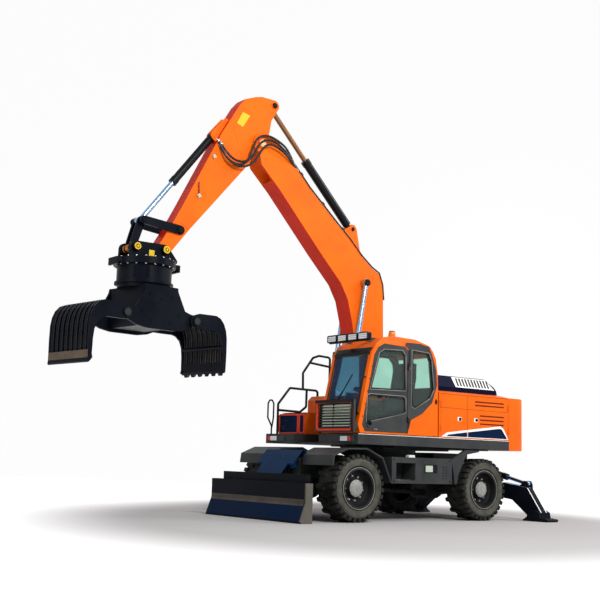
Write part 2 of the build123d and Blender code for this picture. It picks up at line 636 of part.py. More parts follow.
def house_shell():
    """Engine housing: walls, crowned top with the lid's opening, door openings."""
    outline = [(-DECK_HALF_W, DECK_TOP), (DECK_HALF_W, DECK_TOP), (DECK_HALF_W, HOUSE_EDGE_Z),
               (LID_LEFT_Y + 20, HOUSE_CROWN_Z), (LID_RIGHT_Y - 20, HOUSE_CROWN_Z),
               (-DECK_HALF_W, HOUSE_EDGE_Z)]
    body = cross(outline, DECK_REAR_X, HOUSE_FRONT_X)
    face = make_face(Polyline(*[(DECK_REAR_X + HOUSE_WALL, y, z) for y, z in outline], close=True))
    inner = offset(face, amount=-HOUSE_WALL, kind=Kind.INTERSECTION)
    body -= extrude(inner, amount=HOUSE_FRONT_X - DECK_REAR_X - 2 * HOUSE_WALL, dir=(1, 0, 0))
    body -= box(DOOR_SEAM_X + POST_T / 2, DOOR1_FRONT_X, DECK_HALF_W - 40, DECK_HALF_W + 5,
                DOOR_LOW - PANEL_GAP, DOOR_TOP + PANEL_GAP)
    body -= box(DOOR2_REAR_X, DOOR_SEAM_X - POST_T / 2, DECK_HALF_W - 40, DECK_HALF_W + 5,
                DOOR_LOW - PANEL_GAP, DOOR_TOP + PANEL_GAP)
    body -= box(RIGHT_DOOR_X0, RIGHT_DOOR_X1, -DECK_HALF_W - 5, -DECK_HALF_W + 40,
                DOOR_LOW - PANEL_GAP, DOOR_TOP + PANEL_GAP)
    body -= box(LID_REAR_X + 60, LID_FRONT_X - 60, LID_RIGHT_Y + 60, LID_LEFT_Y - 60,
                HOUSE_CROWN_Z - 50, HOUSE_CROWN_Z + 5)
    for z in HINGE_ZS:
        for x, side in ((DOOR1_FRONT_X - 3, 1), (DOOR2_REAR_X + 3, 1), (RIGHT_DOOR_X0 + 3, -1)):
            body -= disc_z(x, side * HINGE_Y, 12, z - 16, z + 16)
        body += hinge(DOOR1_FRONT_X - 3, HINGE_Y, z, 26, -26, 10)[0]
        body += hinge(DOOR2_REAR_X + 3, HINGE_Y, z, -16, 26, 10)[0]
        body += mirror(hinge(RIGHT_DOOR_X0 + 3, HINGE_Y, z, -26, 26, 10)[0], Plane.XZ)
    lid_y = (LID_LEFT_Y + LID_RIGHT_Y) / 2
    for y in (lid_y - 500, lid_y + 440):
        body += disc_y((LID_REAR_X, HOUSE_CROWN_Z + 14), 6, y - 30, y + 90)
        for y0 in (y - 30, y + 60):
            body += box(LID_REAR_X - 10, LID_REAR_X + 10, y0, y0 + 30, HOUSE_CROWN_Z - 4, HOUSE_CROWN_Z + 22)
    return body


def service_door(x0, x1, hinge_x, turn, slots):
    """Side door of the engine housing, with louvre slots where it has them."""
    panel = box(x0, x1, DECK_HALF_W - 30, DECK_HALF_W, DOOR_LOW, DOOR_TOP)
    for sx0, sx1, z in slots:
        panel -= box(sx0, sx1, DECK_HALF_W - 12, DECK_HALF_W + 5, z, z + 26)
    for z in HINGE_ZS:
        panel -= disc_z(hinge_x, HINGE_Y, 14, z - 50, z + 50)
        panel += hinge(hinge_x, HINGE_Y, z, -turn, turn, 10)[1]
    return panel


def engine_lid():
    """Raised lid over the engine: sloped sides, open below, ribbed vents in its left side."""
    outline = [(LID_LEFT_Y, HOUSE_CROWN_Z + 6), (LID_LEFT_Y, LID_SIDE_Z), (LID_LEFT_Y - 130, LID_TOP_Z),
               (LID_RIGHT_Y + 130, LID_TOP_Z), (LID_RIGHT_Y, LID_SIDE_Z), (LID_RIGHT_Y, HOUSE_CROWN_Z + 6)]
    side = [(LID_REAR_X, HOUSE_CROWN_Z + 6), (LID_FRONT_X, HOUSE_CROWN_Z + 6), (LID_FRONT_X - 10, LID_TOP_Z),
            (LID_REAR_X + 210, LID_TOP_Z), (LID_REAR_X + 40, LID_SIDE_Z + 60)]
    outer = cross(outline, LID_REAR_X, LID_FRONT_X) & plate(side, LID_RIGHT_Y - 5, LID_LEFT_Y + 5)
    t = LID_WALL
    inner_a = [(LID_LEFT_Y - t, HOUSE_CROWN_Z), (LID_LEFT_Y - t, LID_SIDE_Z - 4),
               (LID_LEFT_Y - 130 - t, LID_TOP_Z - t), (LID_RIGHT_Y + 130 + t, LID_TOP_Z - t),
               (LID_RIGHT_Y + t, LID_SIDE_Z - 4), (LID_RIGHT_Y + t, HOUSE_CROWN_Z)]
    inner_b = [(LID_REAR_X + t, HOUSE_CROWN_Z), (LID_FRONT_X - t, HOUSE_CROWN_Z),
               (LID_FRONT_X - 10 - t, LID_TOP_Z - t), (LID_REAR_X + 210, LID_TOP_Z - t),
               (LID_REAR_X + 40 + t, LID_SIDE_Z + 60 - 4)]
    inner = cross(inner_a, LID_REAR_X - 5, LID_FRONT_X + 5) & plate(inner_b, LID_RIGHT_Y - 5, LID_LEFT_Y + 5)
    body = outer - inner
    lid_y = (LID_LEFT_Y + LID_RIGHT_Y) / 2
    for y in (lid_y - 500, lid_y + 440):
        body -= box(LID_REAR_X - 5, LID_REAR_X + 20, y - 36, y + 96, HOUSE_CROWN_Z, HOUSE_CROWN_Z + 30)
        body += disc_y((LID_REAR_X, HOUSE_CROWN_Z + 14), 12, y + 0.5, y + 59.5)
        body += box(LID_REAR_X, LID_REAR_X + 30, y + 0.5, y + 59.5, HOUSE_CROWN_Z + 8, HOUSE_CROWN_Z + 24)
        body -= disc_y((LID_REAR_X, HOUSE_CROWN_Z + 14), 6 + PIN_GAP, y - 10, y + 70)
    return body


def counterweight():
    """Cast tail with rounded corners and a pocket towards the engine."""
    r = 300
    front_x = DECK_REAR_X - SEAT_GAP
    outline = [(front_x, DECK_HALF_W)]
    outline += ring_arc((COUNTER_REAR_X + r, DECK_HALF_W - r), r, 90, 180, 8)
    outline += ring_arc((COUNTER_REAR_X + r, -DECK_HALF_W + r), r, 180, 270, 8)
    outline += [(front_x, -DECK_HALF_W)]
    body = slab(outline, COUNTER_LOW, HOUSE_EDGE_Z)
    side = [(front_x + 5, COUNTER_LOW), (COUNTER_REAR_X + 60, COUNTER_LOW),
            (COUNTER_REAR_X, COUNTER_LOW + 60),
            (COUNTER_REAR_X, HOUSE_EDGE_Z - 120), (COUNTER_REAR_X + 90, HOUSE_EDGE_Z - 20),
            (COUNTER_REAR_X + 220, HOUSE_EDGE_Z), (front_x + 5, HOUSE_EDGE_Z)]
    body &= plate(side, -DECK_HALF_W - 5, DECK_HALF_W + 5)
    body -= box(front_x - 290, front_x + 5, -900, 900, DECK_TOP + 30, HOUSE_EDGE_Z - 160)
    return body


def right_boxes():
    """Fuel tank and the tool box in front of it."""
    tank = hollow([(HOUSE_FRONT_X + SEAT_GAP, DECK_TOP), (790, DECK_TOP), (790, 1980), (710, 2060),
                   (HOUSE_FRONT_X + SEAT_GAP, 2060)], -DECK_HALF_W + 10, CHANNEL_RIGHT_Y - 20, 10)
    box_side = [(1010, DECK_TOP), (1421, DECK_TOP), (1421, 1640), (1400, 1690), (1350, 1722), (1010, 1726)]
    tool = hollow(box_side, -DECK_HALF_W + 20, CHANNEL_RIGHT_Y - 30, 10)
    step = box(800, 1000, -DECK_HALF_W + 20, CHANNEL_RIGHT_Y - 20, DECK_TOP, DECK_TOP + 200)
    return tank, tool, step


def rails():
    """Handrails beside the tank and the loop at the deck's right front corner."""
    y = -DECK_HALF_W + 40
    bar = 21
    low = tube_path([(1472, y, DECK_TOP + SEAT_GAP), (1472, y, 1887), (1223, y, 2182), (600, y, 2170),
                     (600, y, 2060 + SEAT_GAP)], 50, bar)
    low += tube_path([(1472, y, 1782), (985, y, 1772), (853, y, 1868), (848, y, 2176)], 50, bar)
    high = tube_path([(935, y, 2182), (943, y, 2469), (725, y, 2755), (588, y, 2803), (330, y, 2790),
                      (330, y, 2060 + SEAT_GAP)], 50, bar)
    high += rod((795, y, 2664), (330, y, 2620), bar)
    loop = tube_path([(1600, y, DECK_TOP + SEAT_GAP), (1600, y, 1500), (1686, y, 1640), (1686, y, 1890),
                      (1650, y, 1945), (1600, y, 1945), (1566, y, 1890), (1566, y, 1640), (1594, y, 1480)],
                     24, 14)
    return [low + high, loop]


# Cab
CAB_SIDE = [(1640, CAB_FLOOR_Z), (1687, 1492), (1427, 2660), (1330, 2800), (1180, 2900), (860, 2970),
            (400, 2950), (126, 2850), (10, 2650), (-35, 2400), (-45, 2145), (-45, CAB_FLOOR_Z)]
CAB_FRONT = [(CAB_IN_Y, CAB_FLOOR_Z - 5), (CAB_OUT_Y, CAB_FLOOR_Z - 5), (CAB_OUT_Y, 2760),
             (CAB_OUT_Y - 30, 2880), (CAB_OUT_Y - 100, 2950), (CAB_OUT_Y - 180, 2985),
             (CAB_IN_Y + 180, 2985), (CAB_IN_Y + 75, 2935), (CAB_IN_Y + 20, 2860), (CAB_IN_Y, 2760)]
DOOR_EDGE = [(1548, 1400), (1604, 1500), (1376, 2620), (1290, 2745), (1150, 2815), (700, 2800),
             (640, 2740), (640, 1400)]
UPPER_PANE = [(1434, 2083), (1258, 2640), (1160, 2700), (782, 2715), (712, 2640), (702, 2097)]
LOWER_PANE = [(1500, 1561), (1489, 1950), (1440, 1975), (740, 1975), (699, 1940), (695, 1740), (760, 1711)]
QUARTER_PANE = [(537, 2740), (180, 2720), (120, 2600), (70, 2138), (150, 2000), (475, 1820), (537, 1860)]
RIGHT_PANE = [(1434, 1900), (1258, 2640), (1160, 2700), (240, 2700), (150, 2600), (80, 2200), (80, 1900)]
CAB_HINGE_X = 637
CAB_HINGE_ZS = (1620, 2480)


def grown(outline, amount, y):
    """Outline made larger, or smaller with a negative amount."""
    return offset(face_xz(outline, y), amount=amount, kind=Kind.INTERSECTION)


def window(outline, y0, y1, amount=0):
    face = grown(outline, amount, y0) if amount else face_xz(outline, y0)
    return extrude(face, amount=y1 - y0, dir=(0, 1, 0))


def screen_plane():
    """Plane of the sloped windscreen, its x axis across the cab."""
    low, high = CAB_SIDE[1], CAB_SIDE[2]
    rise = Vector(high[0] - low[0], 0, high[1] - low[1]).normalized()
    return Plane(origin=(low[0], (CAB_IN_Y + CAB_OUT_Y) / 2, low[1]), x_dir=(0, 1, 0),
                 z_dir=Vector(0, 1, 0).cross(rise))


def cab_block():
    """Outside shape of the cab, not yet hollowed."""
    return plate(CAB_SIDE, CAB_IN_Y, CAB_OUT_Y) & cross(CAB_FRONT, -60, 1700)


def cab_shell():
    """Hollow cab with its door opening and windows, on four mounting pads."""
    body = cab_block()
    hollow_side = extrude(grown(CAB_SIDE, -CAB_WALL, CAB_IN_Y), amount=CAB_OUT_Y - CAB_IN_Y, dir=(0, 1, 0))
    front_face = make_face(Polyline(*[(-60, y, z) for y, z in CAB_FRONT], close=True))
    hollow_front = extrude(offset(front_face, amount=-CAB_WALL, kind=Kind.INTERSECTION), amount=1760,
                           dir=(1, 0, 0))
    body -= hollow_side & hollow_front
    body -= window(DOOR_EDGE, CAB_OUT_Y - 60, CAB_OUT_Y + 20)
    body -= window(QUARTER_PANE, CAB_OUT_Y - 60, CAB_OUT_Y + 20)
    body -= window(RIGHT_PANE, CAB_IN_Y - 20, CAB_IN_Y + 60)
    body -= box(-70, 10, CAB_IN_Y + 120, CAB_OUT_Y - 120, 2180, 2700)
    body -= screen_plane() * (Pos(0, 595, 0) * Box(800, 1110, 130))
    for x in (40, 1480):
        for y in (CAB_IN_Y + 40, CAB_OUT_Y - 160):
            body += box(x, x + 120, y, y + 120, DECK_TOP + SEAT_GAP, CAB_FLOOR_Z + 5)
    for z in CAB_HINGE_ZS:
        body -= disc_z(CAB_HINGE_X, HINGE_Y, 12, z - 16, z + 16)
        body -= box(CAB_HINGE_X - 2, CAB_HINGE_X + 5, HINGE_Y - 16, HINGE_Y, z - 16, z + 16)
        body += hinge(CAB_HINGE_X, HINGE_Y, z, -30, 30, 14)[0]
    return body


def cab_glass():
    """Fixed panes: windscreen, left quarter, right side and rear."""
    mid = CAB_WALL / 2
    quarter = window(QUARTER_PANE, CAB_OUT_Y - mid - GLASS / 2, CAB_OUT_Y - mid + GLASS / 2, -SEAT_GAP)
    right = window(RIGHT_PANE, CAB_IN_Y + mid - GLASS / 2, CAB_IN_Y + mid + GLASS / 2, -SEAT_GAP)
    rear = box(-45 + mid - 3, -45 + mid + 3, CAB_IN_Y + 120 + SEAT_GAP, CAB_OUT_Y - 120 - SEAT_GAP,
               2180 + SEAT_GAP, 2700 - SEAT_GAP)
    screen = screen_plane() * (Pos(0, 595, -mid) * Box(800 - 2 * SEAT_GAP, 1110 - 2 * SEAT_GAP, GLASS))
    return quarter, right, rear, screen


def cab_door():
    """Door as thick as the cab's wall, with two panes cut, hinges and the latch handle."""
    y0 = CAB_OUT_Y - CAB_WALL
    body = window(DOOR_EDGE, y0, CAB_OUT_Y, -PANEL_GAP)
    body -= window(UPPER_PANE, y0 - 5, CAB_OUT_Y + 5)
    body -= window(LOWER_PANE, y0 - 5, CAB_OUT_Y + 5)
    for z in CAB_HINGE_ZS:
        body -= disc_z(CAB_HINGE_X, HINGE_Y, 14, z - 50, z + 50)
        body += hinge(CAB_HINGE_X, HINGE_Y, z, -30, 30, 14)[1]
    body += disc_y((1470, 1500), 38, CAB_OUT_Y - 2, CAB_OUT_Y + 14)
    return body


def cab_door_glass():
    mid = CAB_OUT_Y - CAB_WALL / 2
    return (window(UPPER_PANE, mid - GLASS / 2, mid + GLASS / 2, -SEAT_GAP),
            window(LOWER_PANE, mid - GLASS / 2, mid + GLASS / 2, -SEAT_GAP))


def cab_guard():
    """Guard frame with louvres in front of the cab's foot."""
    x0, x1 = 1735, 1775
    y0, y1, z0, z1 = 262, 1212, 1384, 1890
    body = box(x0, x1, y0, y1, z0, z1) - box(x0 - 5, x1 + 5, y0 + 45, y1 - 45, z0 + 45, z1 - 40)
    for k in range(9):
        z = z0 + 80 + k * 42
        blade_face = [(x0 + 4, z), (x1 - 4, z - 16), (x1 - 4, z - 10), (x0 + 4, z + 6)]
        body += plate(blade_face, y0 + 40, y1 - 40)
    for y in (y0, y1 - 24):
        body += box(1687 + SEAT_GAP, x0 + 5, y, y + 24, 1440, 1520)
    return body


def cab_seat():
    """Operator's seat with its arm consoles and steering column."""
    mid = (CAB_IN_Y + CAB_OUT_Y) / 2
    floor = CAB_FLOOR_Z + CAB_WALL
    body = box(380, 800, mid - 170, mid + 170, floor, floor + 300)
    body += plate([(330, floor + 260), (900, floor + 280), (910, floor + 370), (860, floor + 400),
                   (330, floor + 380)], mid - 250, mid + 250)
    body += plate([(330, floor + 300), (450, floor + 340), (330, floor + 980), (300, floor + 1160),
                   (210, floor + 1150), (215, floor + 900)], mid - 230, mid + 230)
    for side in (-1, 1):
        low, high = sorted((mid + side * 245, mid + side * 350))
        body += box(480, 1000, low, high, floor + 340, floor + 520)
        body += rod((940, (low + high) / 2, floor + 515), (955, (low + high) / 2, floor + 680), 22)
    body += box(1230, 1330, mid - 60, mid + 60, floor, floor + 200)
    body += rod((1280, mid, floor + 150), (1160, mid, floor + 660), 40)
    wheel = Pos(1160, mid, floor + 650) * (Rot(0, -14, 0) * Cylinder(175, 26))
    body += wheel
    return list(body.solids())
    return body


LAMP_W = 150
LAMP_STEP = 222         # between the roof lamps, side by side
LAMP_FIRST_Y = 330


def lamps():
    """Roof light bar with four lamps, the beacon, and the lamps on the skirt."""
    roof = Pos(0, 0, SEAT_GAP) * cab_block()
    bar = box(1430, 1460, 260, 1210, 2885, 2915)
    for y in (470, 970):
        bar += box(1150, 1440, y, y + 34, 2850, 2915) - roof
    for k in range(4):
        y = LAMP_FIRST_Y + k * LAMP_STEP
        bar += box(1440, 1520, y, y + LAMP_W, 2850, 2975)
    beacon = disc_z(330, 480, 62, 2880, 2985) - roof
    beacon += disc_z(330, 480, 50, 2980, 3150)
    front = box(DECK_FRONT_X + SEAT_GAP, DECK_FRONT_X + 50, 700, 1130, 1235, 1330)
    other = mirror(front, Plane.XZ)
    return [bar, beacon, front, other]


# Boom and arm
BOOM_LINE = 45.7
BOOM_TOP_LINE = [(182, 3041), (198, 3745), (228, 4008), (303, 4190), (467, 4268), (704, 4440), (984, 4700),
                 (1327, 4975), (1886, 5440), (2281, 5830), (2477, 6040), (2600, 6120)]
BOOM_BELLY = [(2890, 5660), (2510, 5307), (2078, 4856), (1636, 4394), (1162, 3926), (1000, 3657),
              (905, 3318), (847, 3048)]


def boom_outline():
    outline = list(BOOM_TOP_LINE)
    outline += ring_arc(BOOM_NOSE, 160, 110, -75, 12)
    outline += BOOM_BELLY[0:]
    outline += ring_arc(BOOM_FOOT, 150, -12, -172, 12)
    return outline


def along(origin, turn, s0, s1, half):
    """Rectangle in an outline, laid along a direction from an origin."""
    c, s = cos(radians(turn)), sin(radians(turn))
    corners = ((s0, -half), (s1, -half), (s1, half), (s0, half))
    return [(origin[0] + a * c - b * s, origin[1] + a * s + b * c) for a, b in corners]


def boom():
    """Box-section boom with a forked nose, its foot, cylinder bosses and pins."""
    outline = boom_outline()
    half = BOOM_W / 2
    y0, y1 = BOOM_Y - half, BOOM_Y + half
    fork_in = ARM_W / 2 + SIDE_GAP
    body = hollow(outline, y0, y1, BOOM_WALL)
    solid = plate(outline, y0, y1)
    slot_start = -600
    body += solid & plate(along(BOOM_NOSE, BOOM_LINE, slot_start - 16, slot_start, 600), y0, y1)
    body -= plate(along(BOOM_NOSE, BOOM_LINE, slot_start, 400, 600), BOOM_Y - fork_in, BOOM_Y + fork_in)
    nose = solid & plate(along(BOOM_NOSE, BOOM_LINE, slot_start - 8, 400, 600), y0, y1)
    body += nose & box(0, 4000, y0, BOOM_Y - fork_in, 3000, 7000)
    body += nose & box(0, 4000, BOOM_Y + fork_in, y1, 3000, 7000)
    body += disc_y(BOOM_FOOT, 130, y0, y1)
    body -= disc_y(BOOM_FOOT, 50 + PIN_GAP, y0 - 5, y1 + 5)
    body += disc_y(BOOM_NOSE, 45, y0 - 22, y1 + 22)
    for side in (-1, 1):
        out = BOOM_Y + side * half
        body += disc_y(BOOM_NOSE, 85, *sorted((out - side * 2, out + side * 16)))
        body += disc_y(BOOM_EYE, 72, *sorted((out - side * 2, BOOM_Y + side * (BOOM_CYL_SIDE - 46))))
    fx, fz = ARM_CYL_FOOT
    ear = [(620, 4340), (1180, 4820), (fx + 85, fz + 25), (fx + 35, fz + 80), (fx - 35, fz + 80),
           (fx - 85, fz + 25)]
    for edge in (-75, 51):
        body += plate(ear, BOOM_Y + edge, BOOM_Y + edge + 24)
    body += disc_y(ARM_CYL_FOOT, 36, BOOM_Y - 82, BOOM_Y + 82)
    return body


PIPE_R = 14
PIPE_LIFT = 34
PIPE_EDGE = 21          # pipe's middle inside the boom's edge
CLAMP_SPAN = 400


def boom_pipes():
    """A steel pipe along each edge of the boom's back, held off it by clamps."""
    spine = []
    for before, here, after in zip(BOOM_TOP_LINE, BOOM_TOP_LINE[1:], BOOM_TOP_LINE[2:-1]):
        turn = atan2(after[1] - before[1], after[0] - before[0])
        spine.append((here[0] - PIPE_LIFT * sin(turn), here[1] + PIPE_LIFT * cos(turn)))
    pipes = []
    for side in (-1, 1):
        y = BOOM_Y + side * (BOOM_W / 2 - PIPE_EDGE)
        pipe = tube_path([(x, y, z) for x, z in spine], 40, PIPE_R)
        for a, b in zip(BOOM_TOP_LINE[1:], BOOM_TOP_LINE[2:-2]):
            if hypot(b[0] - a[0], b[1] - a[1]) > CLAMP_SPAN:
                middle = ((a[0] + b[0]) / 2, (a[1] + b[1]) / 2)
                turn = degrees(atan2(b[1] - a[1], b[0] - a[0]))
                clamp = box(-30, 30, y - 18, y + 18, SEAT_GAP, PIPE_LIFT + 20)
                pipe += Pos(middle[0], 0, middle[1]) * (Rot(0, -turn, 0) * clamp)
        pipes.append(pipe)
    return pipes


ARM_EDGE = [(3028, 6785), (3225, 6706), (3337, 6578), (3659, 6038), (4314, 4748), (4523, 4354)]
ARM_BELLY = [(4440, 4050), (4169, 4394), (3136, 5615)]


def arm_outline():
    outline = ring_arc(ARM_TAIL, 95, 200, 90, 6)
    outline += [(2909, 6816)] + ARM_EDGE
    outline += ring_arc(ARM_TIP, 105, 35, -130, 10)
    outline += ARM_BELLY
    outline += ring_arc(BOOM_NOSE, 160, -60, -205, 12)
    outline += [(2700, 6453)]
    return outline


def arm():
    """Box-section arm: tail clevis, pivot boss, brackets and pins for the grab's linkage."""
    outline = arm_outline()
    half = ARM_W / 2
    y0, y1 = BOOM_Y - half, BOOM_Y + half
    body = hollow(outline, y0, y1, ARM_WALL)
    body += disc_y(BOOM_NOSE, 120, y0, y1)
    body -= disc_y(BOOM_NOSE, 45 + PIN_GAP, y0 - 5, y1 + 5)
    body += disc_y(ARM_TIP, 95, y0, y1)
    body -= disc_y(ARM_TIP, 42 + PIN_GAP, y0 - 5, y1 + 5)
    notch = disc_y(ARM_TAIL, 240, BOOM_Y - 51, BOOM_Y + 51)
    liner = disc_y(ARM_TAIL, 256, BOOM_Y - 63, BOOM_Y + 63) & plate(outline, y0, y1)
    body = body + liner - notch
    for side in (-1, 1):
        out = BOOM_Y + side * half
        body += disc_y(ARM_TAIL, 60, *sorted((BOOM_Y + side * 51, out + side * 12)))
        body += disc_y(LEVER_FOOT, 35, *sorted((out - side * 30, out + side * (SIDE_GAP + 34))))
        body += disc_y(LEVER_FOOT, 52, *sorted((out + side * (SIDE_GAP + 29), out + side * (SIDE_GAP + 42))))
    fx, fz = TILT_CYL_FOOT
    ear = [(3480, 6300), (3560, 6330), (fx + 40, fz + 60), (fx + 66, fz + 10), (fx + 30, fz - 50),
           (3700, 5880)]
    for edge in (-66, 46):
        body += plate(ear, BOOM_Y + edge, BOOM_Y + edge + 20)
    body += disc_y(TILT_CYL_FOOT, 30, BOOM_Y - 74, BOOM_Y + 74)
    return body


def levers():
    """Pair of tipping levers with the stub pins that the link hangs on."""
    pair = []
    for side in (-1, 1):
        start = ARM_W / 2 + SIDE_GAP
        low, high = sorted((BOOM_Y + side * start, BOOM_Y + side * (start + 28)))
        bar = capsule(LEVER_FOOT, LEVER_END, 70, 62, low, high)
        bar -= disc_y(LEVER_FOOT, 35 + PIN_GAP, low - 5, high + 5)
        bar += disc_y(LEVER_END, 35, *sorted((BOOM_Y + side * 86, BOOM_Y + side * 180)))
        bar += disc_y(LEVER_END, 52, *sorted((BOOM_Y + side * 86, BOOM_Y + side * 138)))
        pair.append(bar)
    return pair


def link():
    """Link between the levers and the grab's head."""
    body = disc_y(LINK_END, 58, BOOM_Y - 124, BOOM_Y + 124)
    for side in (-1, 1):
        low, high = sorted((BOOM_Y + side * 50, BOOM_Y + side * 80))
        body += capsule(LEVER_END, LINK_END, 66, 58, low, high)
        body += disc_y(LEVER_END, 35, *sorted((BOOM_Y + side * 46, BOOM_Y + side * 84)))
    body -= disc_y(LINK_END, 35 + PIN_GAP, BOOM_Y - 130, BOOM_Y + 130)
    return body


# Grab
def head():
    """Grab head: two ears with the arm and link pins, bolted flange, hooks and drum."""
    ear = ring_arc(ARM_TIP, 86, 150, 80, 4) + ring_arc(LINK_END, 92, 95, -10, 6)
    ear += [(5215, FLANGE_TOP - 2), (4400, FLANGE_TOP - 2), (4400, 3850)]
    inner = ARM_W / 2 + 10
    body = disc_z(GRAB_X, BOOM_Y, 465, FLANGE_LOW, FLANGE_TOP)
    body += disc_z(GRAB_X, BOOM_Y, DRUM_R, DRUM_LOW, FLANGE_LOW + 2)
    body += disc_z(GRAB_X, BOOM_Y, 440, DRUM_LOW, DRUM_LOW + 36)
    body -= disc_z(GRAB_X, BOOM_Y, 330, DRUM_LOW + 60, FLANGE_TOP - 30)
    for side in (-1, 1):
        low, high = sorted((BOOM_Y + side * inner, BOOM_Y + side * (inner + 45)))
        body += plate(ear, low, high)
        out = BOOM_Y + side * (inner + 45)
        for pin in (ARM_TIP, LINK_END):
            body += disc_y(pin, 62, *sorted((out - side * 2, out + side * 60)))
    for turn in (0, 180):
        hook = Rot(0, 0, turn) * (box(440, 540, -130, -70, 3730, 3800) + box(440, 540, 70, 130, 3730, 3800)
                                  + box(505, 540, -130, 130, 3690, 3800))
        body += Pos(GRAB_X, BOOM_Y, 0) * hook
    body += disc_y(ARM_TIP, 42, BOOM_Y - inner - 5, BOOM_Y + inner + 5)
    body += disc_y(LINK_END, 35, BOOM_Y - inner - 5, BOOM_Y + inner + 5)
    return body


def grab_place(shape):
    return Pos(GRAB_X, BOOM_Y, 0) * (Rot(0, 0, GRAB_TURN) * shape)


def grab_frame():
    """Rotating frame: turntable, two side plates with the jaw pins, and the cross box."""
    half = [(0, 3390), (290, 3390), (300, 3330), (440, 3060), (540, 3030)]
    half += ring_arc((JAW_PIVOT_U, JAW_PIVOT_Z), 92, 60, -110, 8)
    half += [(430, 2775), (250, 2745), (0, 2745)]
    outline = half + [(-u, z) for u, z in reversed(half[1:-1])]
    outer_v = FRAME_PLATE_V + FRAME_PLATE_T
    body = hollow([(-280, 2790), (280, 2790), (330, 3000), (280, 3390), (-280, 3390), (-330, 3000)],
                  -FRAME_PLATE_V - 5, FRAME_PLATE_V + 5, 20)
    body += plate(outline, FRAME_PLATE_V, outer_v)
    body += plate(outline, -outer_v, -FRAME_PLATE_V)
    body += disc_z(0, 0, 395, 3375, DRUM_LOW - SEAT_GAP)
    for u in (-JAW_PIVOT_U, JAW_PIVOT_U):
        for side in (-1, 1):
            cap_v = outer_v + SIDE_GAP + JAW_PLATE_T + SIDE_GAP
            body += disc_y((u, JAW_PIVOT_Z), 45, *sorted((side * (outer_v - 10), side * (cap_v + 4))))
            body += disc_y((u, JAW_PIVOT_Z), 68, *sorted((side * cap_v, side * (cap_v + 14))))
    return grab_place(body)


TEETH = 6
TOOTH_W = 70
SLATS = 8
SLAT_W = 62


def jaw(direction):
    """Clam shell of slats between side plates; the left one has a straight bolted edge."""
    outer = [(60, 125), (380, 130), (470, 95), (540, 20), (585, -80), (606, -200), (610, -420), (606, -640)]
    inner = [(545, -640), (540, -430), (525, -300), (480, -190), (400, -125), (330, -105), (80, -105)]
    hub = ring_arc((0, 0), 108, 250, 130, 6)
    plate_outline = outer + [(600, -705), (530, -705)] + inner + hub[0:]
    v1 = JAW_HALF_W
    v0 = v1 - JAW_PLATE_T
    body = None
    for side in (-1, 1):
        piece = plate(plate_outline, *sorted((side * v0, side * v1)))
        body = piece if body is None else body + piece
    band_out = outer[1:]
    band_in = [(548, -640), (550, -420), (546, -210), (528, -100), (488, -8), (430, 52), (370, 72)]
    pitch = (2 * v0) / SLATS
    for k in range(SLATS):
        middle = -v0 + pitch * (k + 0.5)
        body += plate(band_out + band_in, middle - SLAT_W / 2, middle + SLAT_W / 2)
    body += disc_y((330, 60), 58, -v1 + 4, v1 - 4)
    body += disc_y((560, -330), 34, -v1 + 4, v1 - 4)
    if direction > 0:
        body += plate([(545, -560), (590, -566), (612, -752), (592, -765), (548, -720)], -v1, v1)
    else:
        body += plate([(545, -560), (606, -560), (602, -715), (575, -728), (548, -700)], -v1, v1)
        for k in range(TEETH):
            middle = -v1 + 2 * v1 * (k + 0.5) / TEETH
            body += plate([(560, -650), (612, -640), (612, -690), (588, -765), (560, -715)],
                          middle - TOOTH_W / 2, middle + TOOTH_W / 2)
    body -= disc_y((0, 0), 45 + PIN_GAP, -v1 - 5, v1 + 5)
    if direction < 0:
        body = mirror(body, Plane.YZ)
    return grab_place(Pos(direction * JAW_PIVOT_U, 0, JAW_PIVOT_Z) * body)


